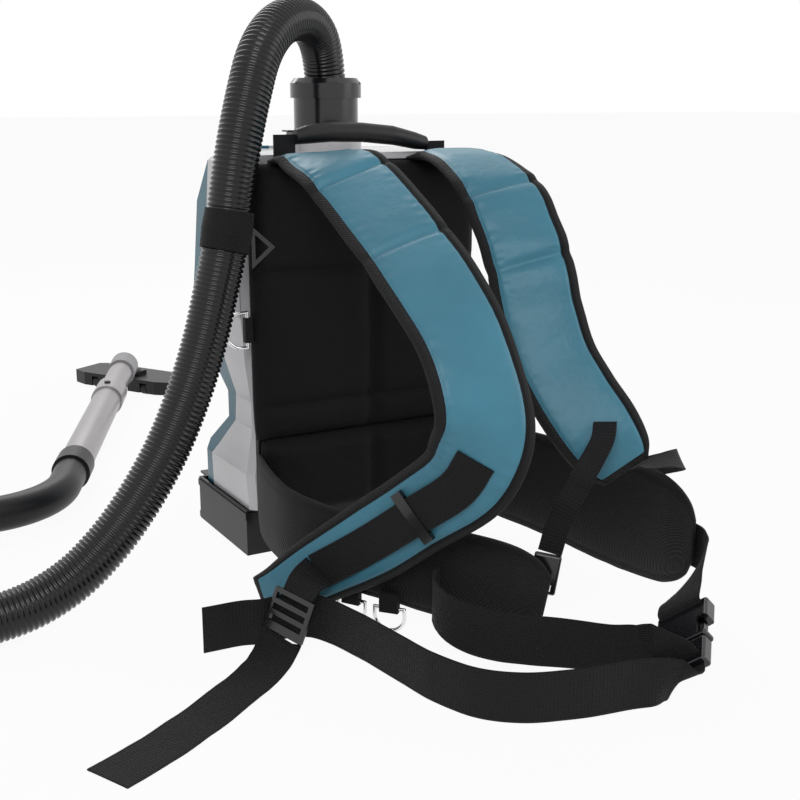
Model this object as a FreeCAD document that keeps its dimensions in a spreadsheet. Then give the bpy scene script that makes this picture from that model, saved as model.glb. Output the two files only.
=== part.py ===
# Cordless backpack vacuum cleaner: casing with motor and dust bag, padded harness, hose and wand.
# Millimetres. The origin is on the floor under the casing; -Y faces the wearer, +X is right, +Z is up.
import FreeCAD, Part
import math
import os
import re
import Sketcher

Vector = FreeCAD.Vector
doc = FreeCAD.newDocument("backpack_vacuum")
sizes = doc.addObject("Spreadsheet::Sheet", "Sizes")

DRIVING = {
    # battery tub and its cover
    "tub_half_width": 152, "tub_front": 82, "tub_back": 75, "tub_height": 56, "tub_wall": 3,
    "lip_proud": 1.5, "lip_height": 8, "shelf_back": 97, "shelf_thick": 2.6,
    "cover_back": 102, "cover_corner": 32, "cover_knuckle_radius": 2.9, "cover_pin_radius": 1.2,
    "battery_width": 75, "battery_length": 112, "battery_body": 40, "battery_rail": 5,
    "battery_gap": 10, "terminal_depth": 19,
    # casing: rises between its creases, and where its sides and its back end at each crease
    "skirt_rise": 44, "hip_rise": 15, "neck_rise": 39, "waist_rise": 32, "rib_rise": 43,
    "shoulder_rise": 52, "chest_rise": 48, "brow_rise": 80, "crest_rise": 49, "top_rise": 9,
    "casing_half_width": 150, "casing_front": 88, "casing_wall": 3, "front_chamfer": 8,
    "waist_inset": 9, "slight_inset": 3, "top_inset": 12,
    "sill_side": 55, "skirt_side": 47, "hip_side": 41, "waist_side": -9, "rib_side": 36,
    "shoulder_side": 77, "chest_side": 65, "brow_side": 48, "crest_side": 15, "top_side": -13,
    "lower_back": 98, "waist_back": 48, "rib_back": 92, "shoulder_back": 122, "top_back": 92,
    "door_gap": 0.5, "door_split": 78, "hinge_radius": 3.5, "pin_radius": 1.5, "running_gap": 0.05,
    # motor, fan and filters
    "motor_y": -25, "deck_thick": 4, "housing_radius": 50, "housing_wall": 4, "housing_height": 121,
    "can_radius": 36, "can_wall": 5, "can_height": 72, "shaft_radius": 4, "fan_radius": 41,
    "fan_height": 14, "bearing_radius": 9, "bearing_height": 6, "flange_radius": 58,
    "filter_radius": 47.7, "filter_height": 4.4,
    # dust bag, inlet and hose cuff
    "bag_half_width": 100, "bag_front": 70, "bag_back": 60, "bag_height": 175,
    "inlet_bore": 24, "inlet_radius": 40, "inlet_rise": 23, "inlet_drop": 30,
    "cuff_radius": 38.5, "cuff_lip_radius": 42.5, "cuff_height": 84, "cuff_lip_height": 23, "hose_seat": 33,
    "hose_diameter": 49, "hose_bore": 38, "hose_groove": 2.6, "rib_pitch": 7.6,
    "fit_gap": 0.3,
    # harness
    "plate_half_width": 140, "plate_thick": 7.7, "plate_bottom": 30, "plate_corner": 25,
    "pad_half_width": 146, "pad_bottom": 146, "pad_thick": 22, "pad_channel": 9,
    "lumbar_bottom": 50, "lumbar_thick": 27, "strap_crown": 8, "strap_back": 6, "seam_thick": 3,
    "webbing_thick": 1.8, "belt_width": 48, "adjuster_width": 38,
    "grip_radius": 11, "ring_wire": 2, "ring_radius": 18, "wing_crown": 8, "wing_back": 5,
    # wand and floor nozzle
    "wand_x": -271, "wand_y": 249, "wand_z": 35.2, "wand_yaw": 65.8, "wand_pitch": 2,
    "tube_radius": 22.5, "tube_wall": 1.6, "tube_length": 400, "inner_radius": 20.5,
    "inner_start": 70, "inner_end": 545, "hand_radius": 22, "hand_bend": 110, "hand_straight": 60,
    "nozzle_half_length": 115, "nozzle_depth": 62, "nozzle_height": 24, "nozzle_turn": 35,
    "wheel_radius": 9, "pivot_height": 28, "pivot_radius": 13,
}
for row, (alias, number) in enumerate(DRIVING.items(), start=1):
    sizes.set(f"A{row}", alias)
    sizes.set(f"B{row}", str(number))
    sizes.setAlias(f"B{row}", alias)
doc.recompute()

RISES = ["skirt_rise", "hip_rise", "neck_rise", "waist_rise", "rib_rise", "shoulder_rise",
         "chest_rise", "brow_rise", "crest_rise", "top_rise"]
TOP = "(tub_height + " + " + ".join(RISES) + ")"
top = sizes.tub_height + sum(getattr(sizes, rise) for rise in RISES)
nodes = []


def formula(text):
    """A formula in the short names of the sheet, written out for an expression."""
    return re.sub(r"[a-z_]+", lambda word: "Sizes." + word.group() if word.group() in DRIVING else word.group(), text)


def bind(item, formulas):
    for name, text in formulas.items():
        item.setExpression(name, formula(text))
    return item


def block(name, low, high):
    """A box between two corners, each of three formulas."""
    item = doc.addObject("Part::Box", name)
    lengths = {side: f"({b}) - ({a})" for side, a, b in zip(("Length", "Width", "Height"), low, high)}
    places = {f"Placement.Base.{axis}": text for axis, text in zip("xyz", low)}
    return bind(item, {**places, **lengths})


def rod(name, axis, radius, centre, low, high):
    """A round bar along X, Y or Z, with its centre in the other two axes and its two ends."""
    item = doc.addObject("Part::Cylinder", name)
    turns = {"X": FreeCAD.Rotation(Vector(0, 1, 0), 90), "Y": FreeCAD.Rotation(Vector(1, 0, 0), -90)}
    item.Placement.Rotation = turns.get(axis, FreeCAD.Rotation())
    base = {"X": (low, *centre), "Y": (centre[0], low, centre[1]), "Z": (*centre, low)}[axis]
    places = {f"Placement.Base.{letter}": text for letter, text in zip("xyz", base)}
    return bind(item, {**places, "Radius": radius, "Height": f"({high}) - ({low})"})


def fuse(name, *items):
    item = doc.addObject("Part::MultiFuse", name)
    item.Shapes = list(items)
    return item


def cut(name, base, *tools):
    item = doc.addObject("Part::Cut", name)
    item.Base = base
    item.Tool = tools[0] if len(tools) == 1 else fuse(name + "_tools", *tools)
    return item


def common(name, *items):
    item = doc.addObject("Part::MultiCommon", name)
    item.Shapes = list(items)
    return item


def solid(name, shape):
    item = doc.addObject("Part::Feature", name)
    item.Shape = shape
    return item


def keep(item, label):
    """Name a finished sub-part after the piece that it is."""
    item.Label = label
    nodes.append(item)
    return item


def outline_sketch(body, plane, corners, name, offset="0"):
    """A closed outline of straight edges on one of the body's planes, each corner held by two formulas."""
    sketch = body.newObject("Sketcher::SketchObject", name)
    support = next(feature for feature in body.Origin.OriginFeatures if feature.Role == plane)
    sketch.AttachmentSupport = [(support, "")]
    sketch.MapMode = "FlatFace"
    bind(sketch, {"AttachmentOffset.Base.z": offset})
    count = len(corners)
    start = [Vector(10 * math.cos(2 * math.pi * k / count), 10 * math.sin(2 * math.pi * k / count), 0)
             for k in range(count)]
    sketch.addGeometry([Part.LineSegment(start[k], start[(k + 1) % count]) for k in range(count)], False)
    for k in range(count):
        sketch.addConstraint(Sketcher.Constraint("Coincident", k, 2, (k + 1) % count, 1))
    for k, corner in enumerate(corners):
        for kind, text in zip(("DistanceX", "DistanceY"), corner):
            index = sketch.addConstraint(Sketcher.Constraint(kind, -1, 1, k, 1, 1.0))
            sketch.setExpression(f"Constraints[{index}]", formula(text))
    return sketch


def padded(name, plane, corners, depth, offset="0"):
    """A body padded from a straight-edged outline."""
    body = doc.addObject("PartDesign::Body", name)
    sketch = outline_sketch(body, plane, corners, name + "_outline", offset)
    pad = body.newObject("PartDesign::Pad", name + "_pad")
    pad.Profile = sketch
    bind(pad, {"Length": depth})
    return body


def pocketed(body, plane, corners, depth, name, offset="0", backwards=False):
    """Cut a straight-edged outline into a body."""
    sketch = outline_sketch(body, plane, corners, name + "_outline", offset)
    pocket = body.newObject("PartDesign::Pocket", name)
    pocket.Profile = sketch
    pocket.Reversed = backwards
    bind(pocket, {"Length": depth})
    return body


def turned(name, profile, place):
    """A body turned about Z from a profile of (radius, height) corners, standing at place."""
    body = doc.addObject("PartDesign::Body", name)
    sketch = outline_sketch(body, "XZ_Plane", profile, name + "_profile")
    spin = body.newObject("PartDesign::Revolution", name + "_turn")
    spin.Profile = sketch
    spin.ReferenceAxis = (sketch, ["V_Axis"])
    spin.Angle = 360
    return bind(body, {f"Placement.Base.{axis}": text for axis, text in zip("xyz", place)})


def rectangle(left, right, low, high):
    return [(left, low), (right, low), (right, high), (left, high)]


# Casing: a faceted box with a waist, wider above and below it
def casing_rings(inset):
    """Level outlines of the casing at each crease, from the tub to the top, all drawn in by inset."""
    sides = ["sill", "skirt", "hip", "waist", "waist", "rib", "shoulder", "chest", "brow", "crest", "top"]
    backs = ["lower", "lower", "lower", "waist", "waist", "rib", "shoulder", "shoulder", "shoulder",
             "shoulder", "top"]
    draws = ["slight", None, "slight", "waist", "waist", "slight", None, None, None, "slight", "top"]
    lean = {"chest": 4, "brow": 12, "crest": 20}
    height = sizes.tub_height
    rings = []
    for k, (side, back, draw) in enumerate(zip(sides, backs, draws)):
        height += getattr(sizes, RISES[k - 1]) if k else 0
        half = sizes.casing_half_width - (getattr(sizes, draw + "_inset") if draw else 0) - inset
        front = -sizes.casing_front + inset
        side_end = getattr(sizes, side + "_side") - inset
        back_end = getattr(sizes, back + "_back") - lean.get(side, 0) - inset
        level = height
        if k == 0:
            level = height - (1 if inset else 0)
        if k == len(sides) - 1:
            level = height - inset
        shallow = side_end + 0.62 * (back_end - side_end)
        right = [(half - sizes.front_chamfer, front), (half, front + sizes.front_chamfer), (half, side_end),
                 (half - 24, shallow), (half - 70, back_end)]
        left = [(-x, y) for x, y in reversed(right)]
        corners = [Vector(x, y, level) for x, y in right + left]
        rings.append(Part.makePolygon(corners + corners[:1]))
    return rings


casing_outer = solid("casing_outer", Part.makeLoft(casing_rings(0), True, True))
casing_inner = solid("casing_inner", Part.makeLoft(casing_rings(sizes.casing_wall), True, True))
casing_skin = cut("casing_skin", casing_outer, casing_inner)

# The parting line runs down the side in a zigzag and across the top behind the inlet
WAIST_LOW = "(tub_height + skirt_rise + hip_rise + neck_rise)"
WAIST_HIGH = "(" + WAIST_LOW + " + waist_rise)"
SHOULDER = "(" + WAIST_HIGH + " + rib_rise + shoulder_rise)"


def parting(shift):
    return [(f"36 + {shift}", "tub_height - 5"), (f"31 + {shift}", "tub_height + skirt_rise - 2"),
            (f"-30 + {shift}", WAIST_LOW), (f"-35 + {shift}", WAIST_HIGH + " + 4"),
            (f"2 + {shift}", SHOULDER + " - 19"), (f"18 + {shift}", SHOULDER + " + 60"),
            (f"14 + {shift}", TOP + " + 5"), ("200", TOP + " + 5"), ("200", "tub_height - 5")]


def bridge(shift):
    return [(f"-(casing_half_width - 4 + {shift})", "-30"),
            (f"-(casing_half_width - 4 + {shift})", f"12 + {shift}"),
            (f"-(70 + {shift})", f"door_split + {shift}"), (f"70 + {shift}", f"door_split + {shift}"),
            (f"casing_half_width - 4 + {shift}", f"12 + {shift}"),
            (f"casing_half_width - 4 + {shift}", "-30")]


def door_side(name, shift):
    """All that lies behind the parting line."""
    behind = padded(name + "_behind", "YZ_Plane", parting(shift), "400", "-200")
    roof = padded(name + "_roof", "XY_Plane", bridge(shift), "60", TOP + " - 45")
    return cut(name, behind, roof)


shell_cutter = door_side("shell_cutter", "0")
door_cutter = door_side("door_cutter", "door_gap")
hinge_places = [("-66", "-54", "-42", "-30"), ("30", "42", "54", "66")]
HINGE = ("door_split + door_gap + 1", TOP)
shell_knuckles = []
door_knuckles = []
for index, (a, b, c, d) in enumerate(hinge_places):
    for part_name, low, high, target in (("a", a, b, shell_knuckles), ("b", c, d, shell_knuckles),
                                         ("m", f"{b} + fit_gap", f"{c} - fit_gap", door_knuckles)):
        target.append(rod(f"knuckle_{index}{part_name}", "X", "hinge_radius", HINGE, low, high))


def relief(name, low, high):
    return rod(name, "X", "hinge_radius + 0.5", HINGE, f"{low} - fit_gap", f"{high} + fit_gap")


hinge_bore = rod("hinge_bore", "X", "pin_radius + running_gap", HINGE, "-100", "100")
shell_relief = [relief(f"shell_relief_{k}", spots[1], spots[2]) for k, spots in enumerate(hinge_places)]
door_relief = [relief(f"door_relief_{k}{end}", *spots[end:end + 2]) for k, spots in enumerate(hinge_places)
               for end in (0, 2)]

inlet_hole = rod("inlet_hole", "Z", "inlet_radius + fit_gap", ("0", "0"), TOP + " - 20", TOP + " + 5")
SWITCH = ("-35", "(" + SHOULDER + " + 60)")
switch_hole = block("switch_hole", ("casing_half_width - 12", SWITCH[0] + " - 12", SWITCH[1] + " - 18"),
                    ("casing_half_width + 5", SWITCH[0] + " + 12", SWITCH[1] + " + 18"))
screw_spots = [(x, z) for x in ("-110", "110") for z in ("80", TOP + " - 47")]
screw_holes = [rod(f"screw_hole_{k}", "Y", "2.6", spot, "-casing_front - 20", "-casing_front + 20")
               for k, spot in enumerate(screw_spots)]
shell_walls = cut("shell_walls", casing_skin, shell_cutter, inlet_hole, switch_hole, *screw_holes,
                  *shell_relief)
front_shell = keep(cut("shell_bored", fuse("shell_hinged", shell_walls, *shell_knuckles), hinge_bore),
                   "front_shell")

door_walls = common("door_walls", casing_skin, door_cutter)
vent_slots = [block(f"vent_slot_{k}", ("-38", "lower_back - 12", f"tub_height + skirt_rise - 12 + {6 * k}"),
                    ("38", "lower_back + 12", f"tub_height + skirt_rise - 9 + {6 * k}")) for k in range(4)]
LATCH_Z = "(tub_height + 16)"
latch_hole = rod("latch_hole", "Y", "4 + fit_gap", ("0", LATCH_Z), "lower_back - 20", "lower_back + 20")
floor_trim = block("floor_trim", ("-200", "-200", "0"), ("200", "200", "tub_height + door_gap"))
door_open = cut("door_open", door_walls, *door_relief, *vent_slots, latch_hole, floor_trim)
rear_door = keep(cut("door_bored", fuse("door_hinged", door_open, *door_knuckles), hinge_bore), "rear_door")
hinge_pins = [rod(f"hinge_pin_{k}", "X", "pin_radius", HINGE, spots[0], spots[3])
              for k, spots in enumerate(hinge_places)]

# Door latch: a knob outside, a shaft through the door and a blade behind it that drops into the shelf
knob_face = "(lower_back + door_gap)"
knob = rod("latch_knob", "Y", "13", ("0", LATCH_Z), knob_face, knob_face + " + 4")
knob_bar = block("latch_bar", ("-3", knob_face + " + 4", LATCH_Z + " - 12"),
                 ("3", knob_face + " + 11", LATCH_Z + " + 12"))
latch_shaft = rod("latch_shaft", "Y", "4", ("0", LATCH_Z), "lower_back - 9", knob_face)
latch_blade = block("latch_blade", ("-4", "lower_back - 9", "tub_height + 0.6"),
                    ("4", "lower_back - 6", LATCH_Z + " + 5"))
keep(fuse("latch_all", knob, knob_bar, latch_shaft, latch_blade), "door_latch")

# Battery tub: floor, walls, a lip round the top and a shelf under the door, open at the back
tub = padded("tub", "XY_Plane", rectangle("-tub_half_width", "tub_half_width", "-tub_front", "tub_back"),
             "tub_height")
tub_lip = block("tub_lip", ("-tub_half_width - lip_proud", "-tub_front - lip_proud",
                            "tub_height - 3 - lip_height"),
                ("tub_half_width + lip_proud", "tub_back", "tub_height - 3"))
tub_room = block("tub_room", ("-tub_half_width + tub_wall", "-tub_front + tub_wall", "tub_wall"),
                 ("tub_half_width - tub_wall", "tub_back + 5", "tub_height + 5"))
shelf = block("tub_shelf", ("-casing_half_width + 8", "tub_back - 4", "tub_height - shelf_thick"),
              ("casing_half_width - 8", "shelf_back", "tub_height"))
shelf_ears = [block(f"shelf_ear_{k}", (low, "tub_back - 4", "tub_height - shelf_thick"),
                    (high, "tub_back", "tub_height"))
              for k, (low, high) in enumerate((("-tub_half_width", "-tub_half_width + 10"),
                                               ("tub_half_width - 10", "tub_half_width")))]
blade_slot = block("blade_slot", ("-11", "lower_back - 10", "0"), ("11", "shelf_back + 1", "tub_height + 1"))
COVER_PIN = ("-(tub_half_width - 5)", "(tub_back + cover_knuckle_radius + 0.6)")


def cover_knuckle(name, low, high):
    return rod(name, "Z", "cover_knuckle_radius", COVER_PIN, low, high)


COVER_TOP = "(tub_height - shelf_thick - 0.5)"
tub_knuckles = [cover_knuckle("tub_knuckle_low", "1", "9"),
                cover_knuckle("tub_knuckle_high", COVER_TOP + " - 9", COVER_TOP)]
knuckle_webs = [block(f"knuckle_web_{k}", ("-tub_half_width", "tub_back - 1", low),
                      ("-(tub_half_width - 5)", "tub_back + cover_knuckle_radius", high))
                for k, (low, high) in enumerate((("1", "9"), (COVER_TOP + " - 9", COVER_TOP)))]
catch = block("cover_catch", ("tub_half_width + 0.02", "54", "20"), ("tub_half_width + 3.2", "57", "36"))
cover_bore = rod("cover_bore", "Z", "cover_pin_radius + running_gap", COVER_PIN, "0", "tub_height")
tub_walls = cut("tub_walls", fuse("tub_outside", tub, tub_lip), tub_room)
tub_full = fuse("tub_full", tub_walls, shelf, *shelf_ears, *tub_knuckles, *knuckle_webs, catch)
keep(cut("tub_finished", tub_full, blade_slot, cover_bore), "battery_tub")

# Battery cover: a tray that closes the back of the tub and swings on a pin at its left end
cover_front = "(tub_back + 0.6)"
cover_plan = [("-(tub_half_width - 5)", cover_front), ("tub_half_width - 2", cover_front),
              ("tub_half_width - 2", cover_front + " + 6"),
              ("tub_half_width - 2 - cover_corner", "cover_back"),
              ("-(tub_half_width - 2 - cover_corner)", "cover_back"),
              ("-(tub_half_width - 5)", cover_front + " + 5.8")]
room_plan = [("-(tub_half_width - 14)", cover_front + " - 5"), ("tub_half_width - 5", cover_front + " - 5"),
             ("tub_half_width - 5", cover_front + " + 4.5"),
             ("tub_half_width - 4 - cover_corner", "cover_back - 3"),
             ("-(tub_half_width - 4 - cover_corner)", "cover_back - 3"),
             ("-(tub_half_width - 14)", cover_front + " + 9")]
cover_body = padded("cover_body", "XY_Plane", cover_plan, COVER_TOP + " - 1", "1")
pocketed(cover_body, "XY_Plane", room_plan, COVER_TOP + " - 7", "cover_room", "4", True)
cover_barrel = cover_knuckle("cover_barrel", "9.3", COVER_TOP + " - 9.3")
knuckle_reliefs = [rod(f"knuckle_relief_{k}", "Z", "cover_knuckle_radius + 0.5", COVER_PIN, low, high)
                   for k, (low, high) in enumerate((("0", "9.3"), (COVER_TOP + " - 9.3", "tub_height")))]
LATCH_PIN = ("tub_half_width + 3.4", "tub_back + 8")
latch_lugs = [block(f"latch_lug_{k}", ("tub_half_width - 4", "tub_back + 3", low),
                    ("tub_half_width + 6", "tub_back + 11", high))
              for k, (low, high) in enumerate((("14", "17.6"), ("38.4", "42")))]
latch_pin_bore = rod("latch_pin_bore", "Z", "1 + running_gap", LATCH_PIN, "13", "43")
cover_shaped = cut("cover_shaped", cover_body, *knuckle_reliefs)
cover_all = fuse("cover_all", cover_shaped, cover_barrel, *latch_lugs)
keep(cut("cover_finished", cover_all, cover_bore, latch_pin_bore), "battery_cover")
hinge_pins.append(rod("cover_pin_rod", "Z", "cover_pin_radius", COVER_PIN, "1", COVER_TOP))
lever_arm = block("lever_arm", ("tub_half_width + 2.6 + lip_proud", "61", "18"),
                  ("tub_half_width + 5.2 + lip_proud", "tub_back + 8", "38"))
lever_hook = block("lever_hook", ("tub_half_width + 2", "57.5", "21"),
                   ("tub_half_width + 5.2 + lip_proud", "61", "35"))
lever_barrel = rod("lever_barrel", "Z", "2.6", LATCH_PIN, "18", "38")
lever_pin = rod("lever_pin", "Z", "1", LATCH_PIN, "14", "42")
keep(fuse("lever_all", lever_arm, lever_hook, lever_barrel, lever_pin), "cover_latch")

# Batteries on a block with the terminals at its front and a rail between them
tub_inside = "(-tub_front + tub_wall)"
rail_top = "(tub_height - shelf_thick - 1)"
terminal_parts = [
    block("terminal_wall", ("-battery_gap - battery_width", tub_inside, "tub_wall"),
          ("battery_gap + battery_width", tub_inside + " + terminal_depth", rail_top)),
    block("terminal_roof", ("-battery_gap - battery_width", tub_inside, rail_top + " - 3"),
          ("battery_gap + battery_width", tub_inside + " + terminal_depth + battery_length - 20", rail_top)),
    block("terminal_rib", ("-battery_gap + 2", tub_inside, "tub_wall"),
          ("battery_gap - 2", tub_inside + " + terminal_depth + battery_length", rail_top))]
keep(fuse("terminal_all", *terminal_parts), "terminal_block")
for side, left in (("left", "-battery_gap - battery_width"), ("right", "battery_gap")):
    near = tub_inside + " + terminal_depth + fit_gap"
    body = block(f"{side}_battery_body", (left, near, "tub_wall"),
                 (f"{left} + battery_width", near + " + battery_length", "tub_wall + battery_body"))
    rail = block(f"{side}_battery_rail", (f"{left} + 9", near, "tub_wall + battery_body"),
                 (f"{left} + battery_width - 9", near + " + battery_length - 12",
                  "tub_wall + battery_body + battery_rail"))
    keep(fuse(f"{side}_battery_all", body, rail), f"{side}_battery")

# Motor deck, motor and fan, with the filter on top of the motor housing
DECK = "(tub_height + 12)"
deck_slab = block("deck_slab", ("-200", "-200", DECK), ("200", "32", DECK + " + deck_thick"))
deck_hole = rod("deck_hole", "Z", "can_radius - 8", ("0", "motor_y"), DECK + " - 1", DECK + " + 10")
keep(cut("deck_finished", common("deck_blank", casing_inner, deck_slab), deck_hole), "motor_deck")
BASE = "(" + DECK + " + deck_thick)"
motor_place = ("0", "motor_y", BASE)
housing_profile = [("housing_radius - housing_wall", "0"), ("flange_radius - 4", "0"),
                   ("flange_radius - 4", "3"),
                   ("housing_radius", "3"), ("housing_radius", "housing_height - 3"),
                   ("flange_radius", "housing_height - 3"),
                   ("flange_radius", "housing_height"), ("housing_radius - housing_wall", "housing_height")]
keep(turned("motor_housing", housing_profile, motor_place), "motor_housing")
can_low = "10"
can_profile = [("bearing_radius", can_low), ("can_radius", can_low),
               ("can_radius", can_low + " + can_height"),
               ("bearing_radius", can_low + " + can_height"),
               ("bearing_radius", can_low + " + can_height - bearing_height"),
               ("can_radius - can_wall", can_low + " + can_height - bearing_height"),
               ("can_radius - can_wall", can_low + " + bearing_height"),
               ("bearing_radius", can_low + " + bearing_height")]
keep(turned("motor_can", can_profile, motor_place), "motor_can")
bearings = [cut(f"bearing_{k}", rod(f"bearing_outside_{k}", "Z", "bearing_radius", ("0", "motor_y"), low,
                                    high),
                rod(f"bearing_bore_{k}", "Z", "shaft_radius + running_gap", ("0", "motor_y"), low + " - 1",
                    high + " + 1"))
            for k, (low, high) in enumerate(((f"{BASE} + 10", f"{BASE} + 10 + bearing_height"),
                                             (f"{BASE} + 10 + can_height - bearing_height",
                                              f"{BASE} + 10 + can_height")))]
keep(fuse("bearing_pair", *bearings), "motor_bearings")
mounts = [cut(f"mount_{k}", rod(f"mount_outside_{k}", "Z", "housing_radius - housing_wall", ("0", "motor_y"),
                                low, high),
              rod(f"mount_bore_{k}", "Z", "can_radius", ("0", "motor_y"), low + " - 1", high + " + 1"))
          for k, (low, high) in enumerate(((f"{BASE} + 16", f"{BASE} + 24"),
                                           (f"{BASE} + 66", f"{BASE} + 74")))]
keep(fuse("mount_pair", *mounts), "motor_mount_rings")
fan_low = f"({BASE} + 10 + can_height + 3)"
rotor_core = rod("rotor_core", "Z", "can_radius - can_wall - 3", ("0", "motor_y"), f"{BASE} + 20",
                 f"{BASE} + can_height")
shaft = rod("rotor_shaft", "Z", "shaft_radius", ("0", "motor_y"), f"{BASE} + 9",
            fan_low + " + fan_height + 3")
fan_disc = rod("fan_disc", "Z", "fan_radius", ("0", "motor_y"), fan_low, fan_low + " + 2")
fan_hub = rod("fan_hub", "Z", "10", ("0", "motor_y"), fan_low, fan_low + " + fan_height")
vanes = []
for k in range(4):
    vane = block(f"fan_vane_{k}", ("-fan_radius + 1", "-1", "0"), ("fan_radius - 1", "1", "fan_height - 2"))
    vane.Placement.Rotation = FreeCAD.Rotation(Vector(0, 0, 1), 45 * k)
    turn = 45 * k
    bind(vane, {"Placement.Base.x": f"-(fan_radius - 1) * cos({turn}) + sin({turn})",
                "Placement.Base.y": f"motor_y - (fan_radius - 1) * sin({turn}) - cos({turn})",
                "Placement.Base.z": fan_low + " + 2"})
    vanes.append(vane)
keep(fuse("rotor_all", rotor_core, shaft, fan_disc, fan_hub, *vanes), "motor_rotor")
frame_profile = [("filter_radius + fit_gap", "housing_height"), ("flange_radius", "housing_height"),
                 ("flange_radius", "housing_height + filter_height + 2.6"),
                 ("filter_radius - 8", "housing_height + filter_height + 2.6"),
                 ("filter_radius - 8", "housing_height + filter_height + 0.6"),
                 ("filter_radius + fit_gap", "housing_height + filter_height + 0.6")]
keep(turned("filter_frame", frame_profile, motor_place), "filter_frame")
keep(rod("filter_disc", "Z", "filter_radius", ("0", "motor_y"), f"{BASE} + housing_height",
         f"{BASE} + housing_height + filter_height"), "motor_filter")
board = block("board", ("68", "-60", BASE), ("69.6", "10", BASE + " + 60"))
board_parts = [block(f"board_part_{k}", ("69.6", f"{-54 + 20 * k}", BASE + " + 12"),
                     ("80", f"{-42 + 20 * k}", BASE + " + 46")) for k in range(3)]
keep(fuse("board_all", board, *board_parts), "control_board")

# Power switch: a rocker in a frame on the right side
frame_out = block("switch_frame_out", ("casing_half_width - 9", SWITCH[0] + " - 11.7", SWITCH[1] + " - 17.7"),
                  ("casing_half_width", SWITCH[0] + " + 11.7", SWITCH[1] + " + 17.7"))
frame_rim = block("switch_frame_rim", ("casing_half_width", SWITCH[0] + " - 15", SWITCH[1] + " - 21"),
                  ("casing_half_width + 2", SWITCH[0] + " + 15", SWITCH[1] + " + 21"))
frame_room = block("switch_frame_room", ("casing_half_width - 7", SWITCH[0] + " - 9", SWITCH[1] + " - 15"),
                   ("casing_half_width + 9", SWITCH[0] + " + 9", SWITCH[1] + " + 15"))
keep(cut("switch_frame_all", fuse("switch_frame_solid", frame_out, frame_rim), frame_room), "switch_frame")
rocker_body = block("rocker_body", ("casing_half_width - 3", SWITCH[0] + " - 8.6", SWITCH[1] + " - 13"),
                    ("casing_half_width + 4", SWITCH[0] + " + 8.6", SWITCH[1] + " + 13"))
keep(rocker_body, "power_switch")
keep(block("plate_label", ("-casing_half_width - 1", "-80", SHOULDER + " + 5"),
           ("-casing_half_width", "-12", SHOULDER + " + 122")), "rating_plate")

# Dust bag hanging from its collar under the inlet
bag_top = top - 44


def rounded_ring(half, front, back, corner, level):
    """A level outline with four round corners, as lines and quarter arcs."""
    edges = []
    diagonal = corner * (1 - math.sqrt(0.5))
    spots = [(half, back, 1, 1), (-half, back, -1, 1), (-half, front, -1, -1), (half, front, 1, -1)]
    arcs = []
    for x, y, sx, sy in spots:
        start, end = Vector(x, y - sy * corner, level), Vector(x - sx * corner, y, level)
        middle = Vector(x - sx * diagonal, y - sy * diagonal, level)
        arcs.append((start, middle, end) if sx * sy > 0 else (end, middle, start))
    for k, (start, middle, end) in enumerate(arcs):
        edges.append(Part.Arc(start, middle, end).toShape())
        edges.append(Part.LineSegment(end, arcs[(k + 1) % 4][0]).toShape())
    return Part.Wire(edges)


bag_steps = [(0, 0.62, 22), (0.12, 0.95, 34), (0.5, 1.0, 40), (0.8, 0.9, 36), (0.94, 0.62, 26), (1, 0.4, 18)]
bag_rings = [rounded_ring(sizes.bag_half_width * share, -sizes.bag_front * share, sizes.bag_back * share,
                          corner,
                          bag_top - sizes.bag_height * (1 - step)) for step, share, corner in bag_steps]
bag_solid = solid("bag_solid", Part.makeLoft(bag_rings, True, True))
keep(bag_solid, "dust_bag")
collar_slab = block("collar_slab", ("-52", "-44", TOP + " - 43.7"), ("52", "44", TOP + " - 41"))
collar_hole = rod("collar_hole", "Z", "inlet_bore + 3 + fit_gap", ("0", "0"), TOP + " - 60", TOP)
collar_hangers = [block(f"collar_hanger_{k}", (low, "-20", TOP + " - 41"),
                        (high, "20", TOP + " - casing_wall"))
                  for k, (low, high) in enumerate((("-52", "-49"), ("49", "52")))]
keep(cut("collar_all", fuse("collar_solid", collar_slab, *collar_hangers), collar_hole), "bag_collar")

# Inlet socket in the top of the casing, with a release lug at its left, and the hose cuff in it
inlet_place = ("0", "0", TOP)
inlet_profile = [("inlet_bore", "-inlet_drop - 12"), ("inlet_bore + 3", "-inlet_drop - 12"),
                 ("inlet_bore + 3", "-7"),
                 ("inlet_radius + 6", "-7"), ("inlet_radius + 6", "-casing_wall"),
                 ("inlet_radius", "-casing_wall"),
                 ("inlet_radius", "0"), ("inlet_radius + 2.5", "0"), ("inlet_radius + 2.5", "inlet_rise"),
                 ("cuff_radius + fit_gap", "inlet_rise"), ("cuff_radius + fit_gap", "2"), ("inlet_bore", "2")]
inlet_body = turned("inlet_body", inlet_profile, inlet_place)
TAB = "(inlet_radius + 2.5)"
tab_ears = [block(f"tab_ear_{k}", (f"-{TAB} - 9", low, TOP), (f"-{TAB} + 1", high, TOP + " + 15"))
            for k, (low, high) in enumerate((("-11", "-8.5"), ("8.5", "11")))]
TAB_PIN = (f"-({TAB} + 5)", TOP + " + 9")
tab_bore = rod("tab_bore", "Y", "1.2 + running_gap", TAB_PIN, "-12", "12")
keep(cut("inlet_all", fuse("inlet_solid", inlet_body, *tab_ears), tab_bore), "inlet_socket")
tab_plate = block("tab_plate", (f"-{TAB} - 6.5", "-8.2", TOP + " + 1.5"),
                  (f"-{TAB} - 3.5", "8.2", TOP + " + 24"))
tab_lip = block("tab_lip", (f"-{TAB} - 12", "-8.2", TOP + " + 22"), (f"-{TAB} - 3.5", "8.2", TOP + " + 24"))
keep(cut("tab_all", fuse("tab_solid", tab_plate, tab_lip,
                         rod("tab_barrel", "Y", "2.8", TAB_PIN, "-8.2", "8.2")), tab_bore),
                         "cuff_release_tab")
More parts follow.
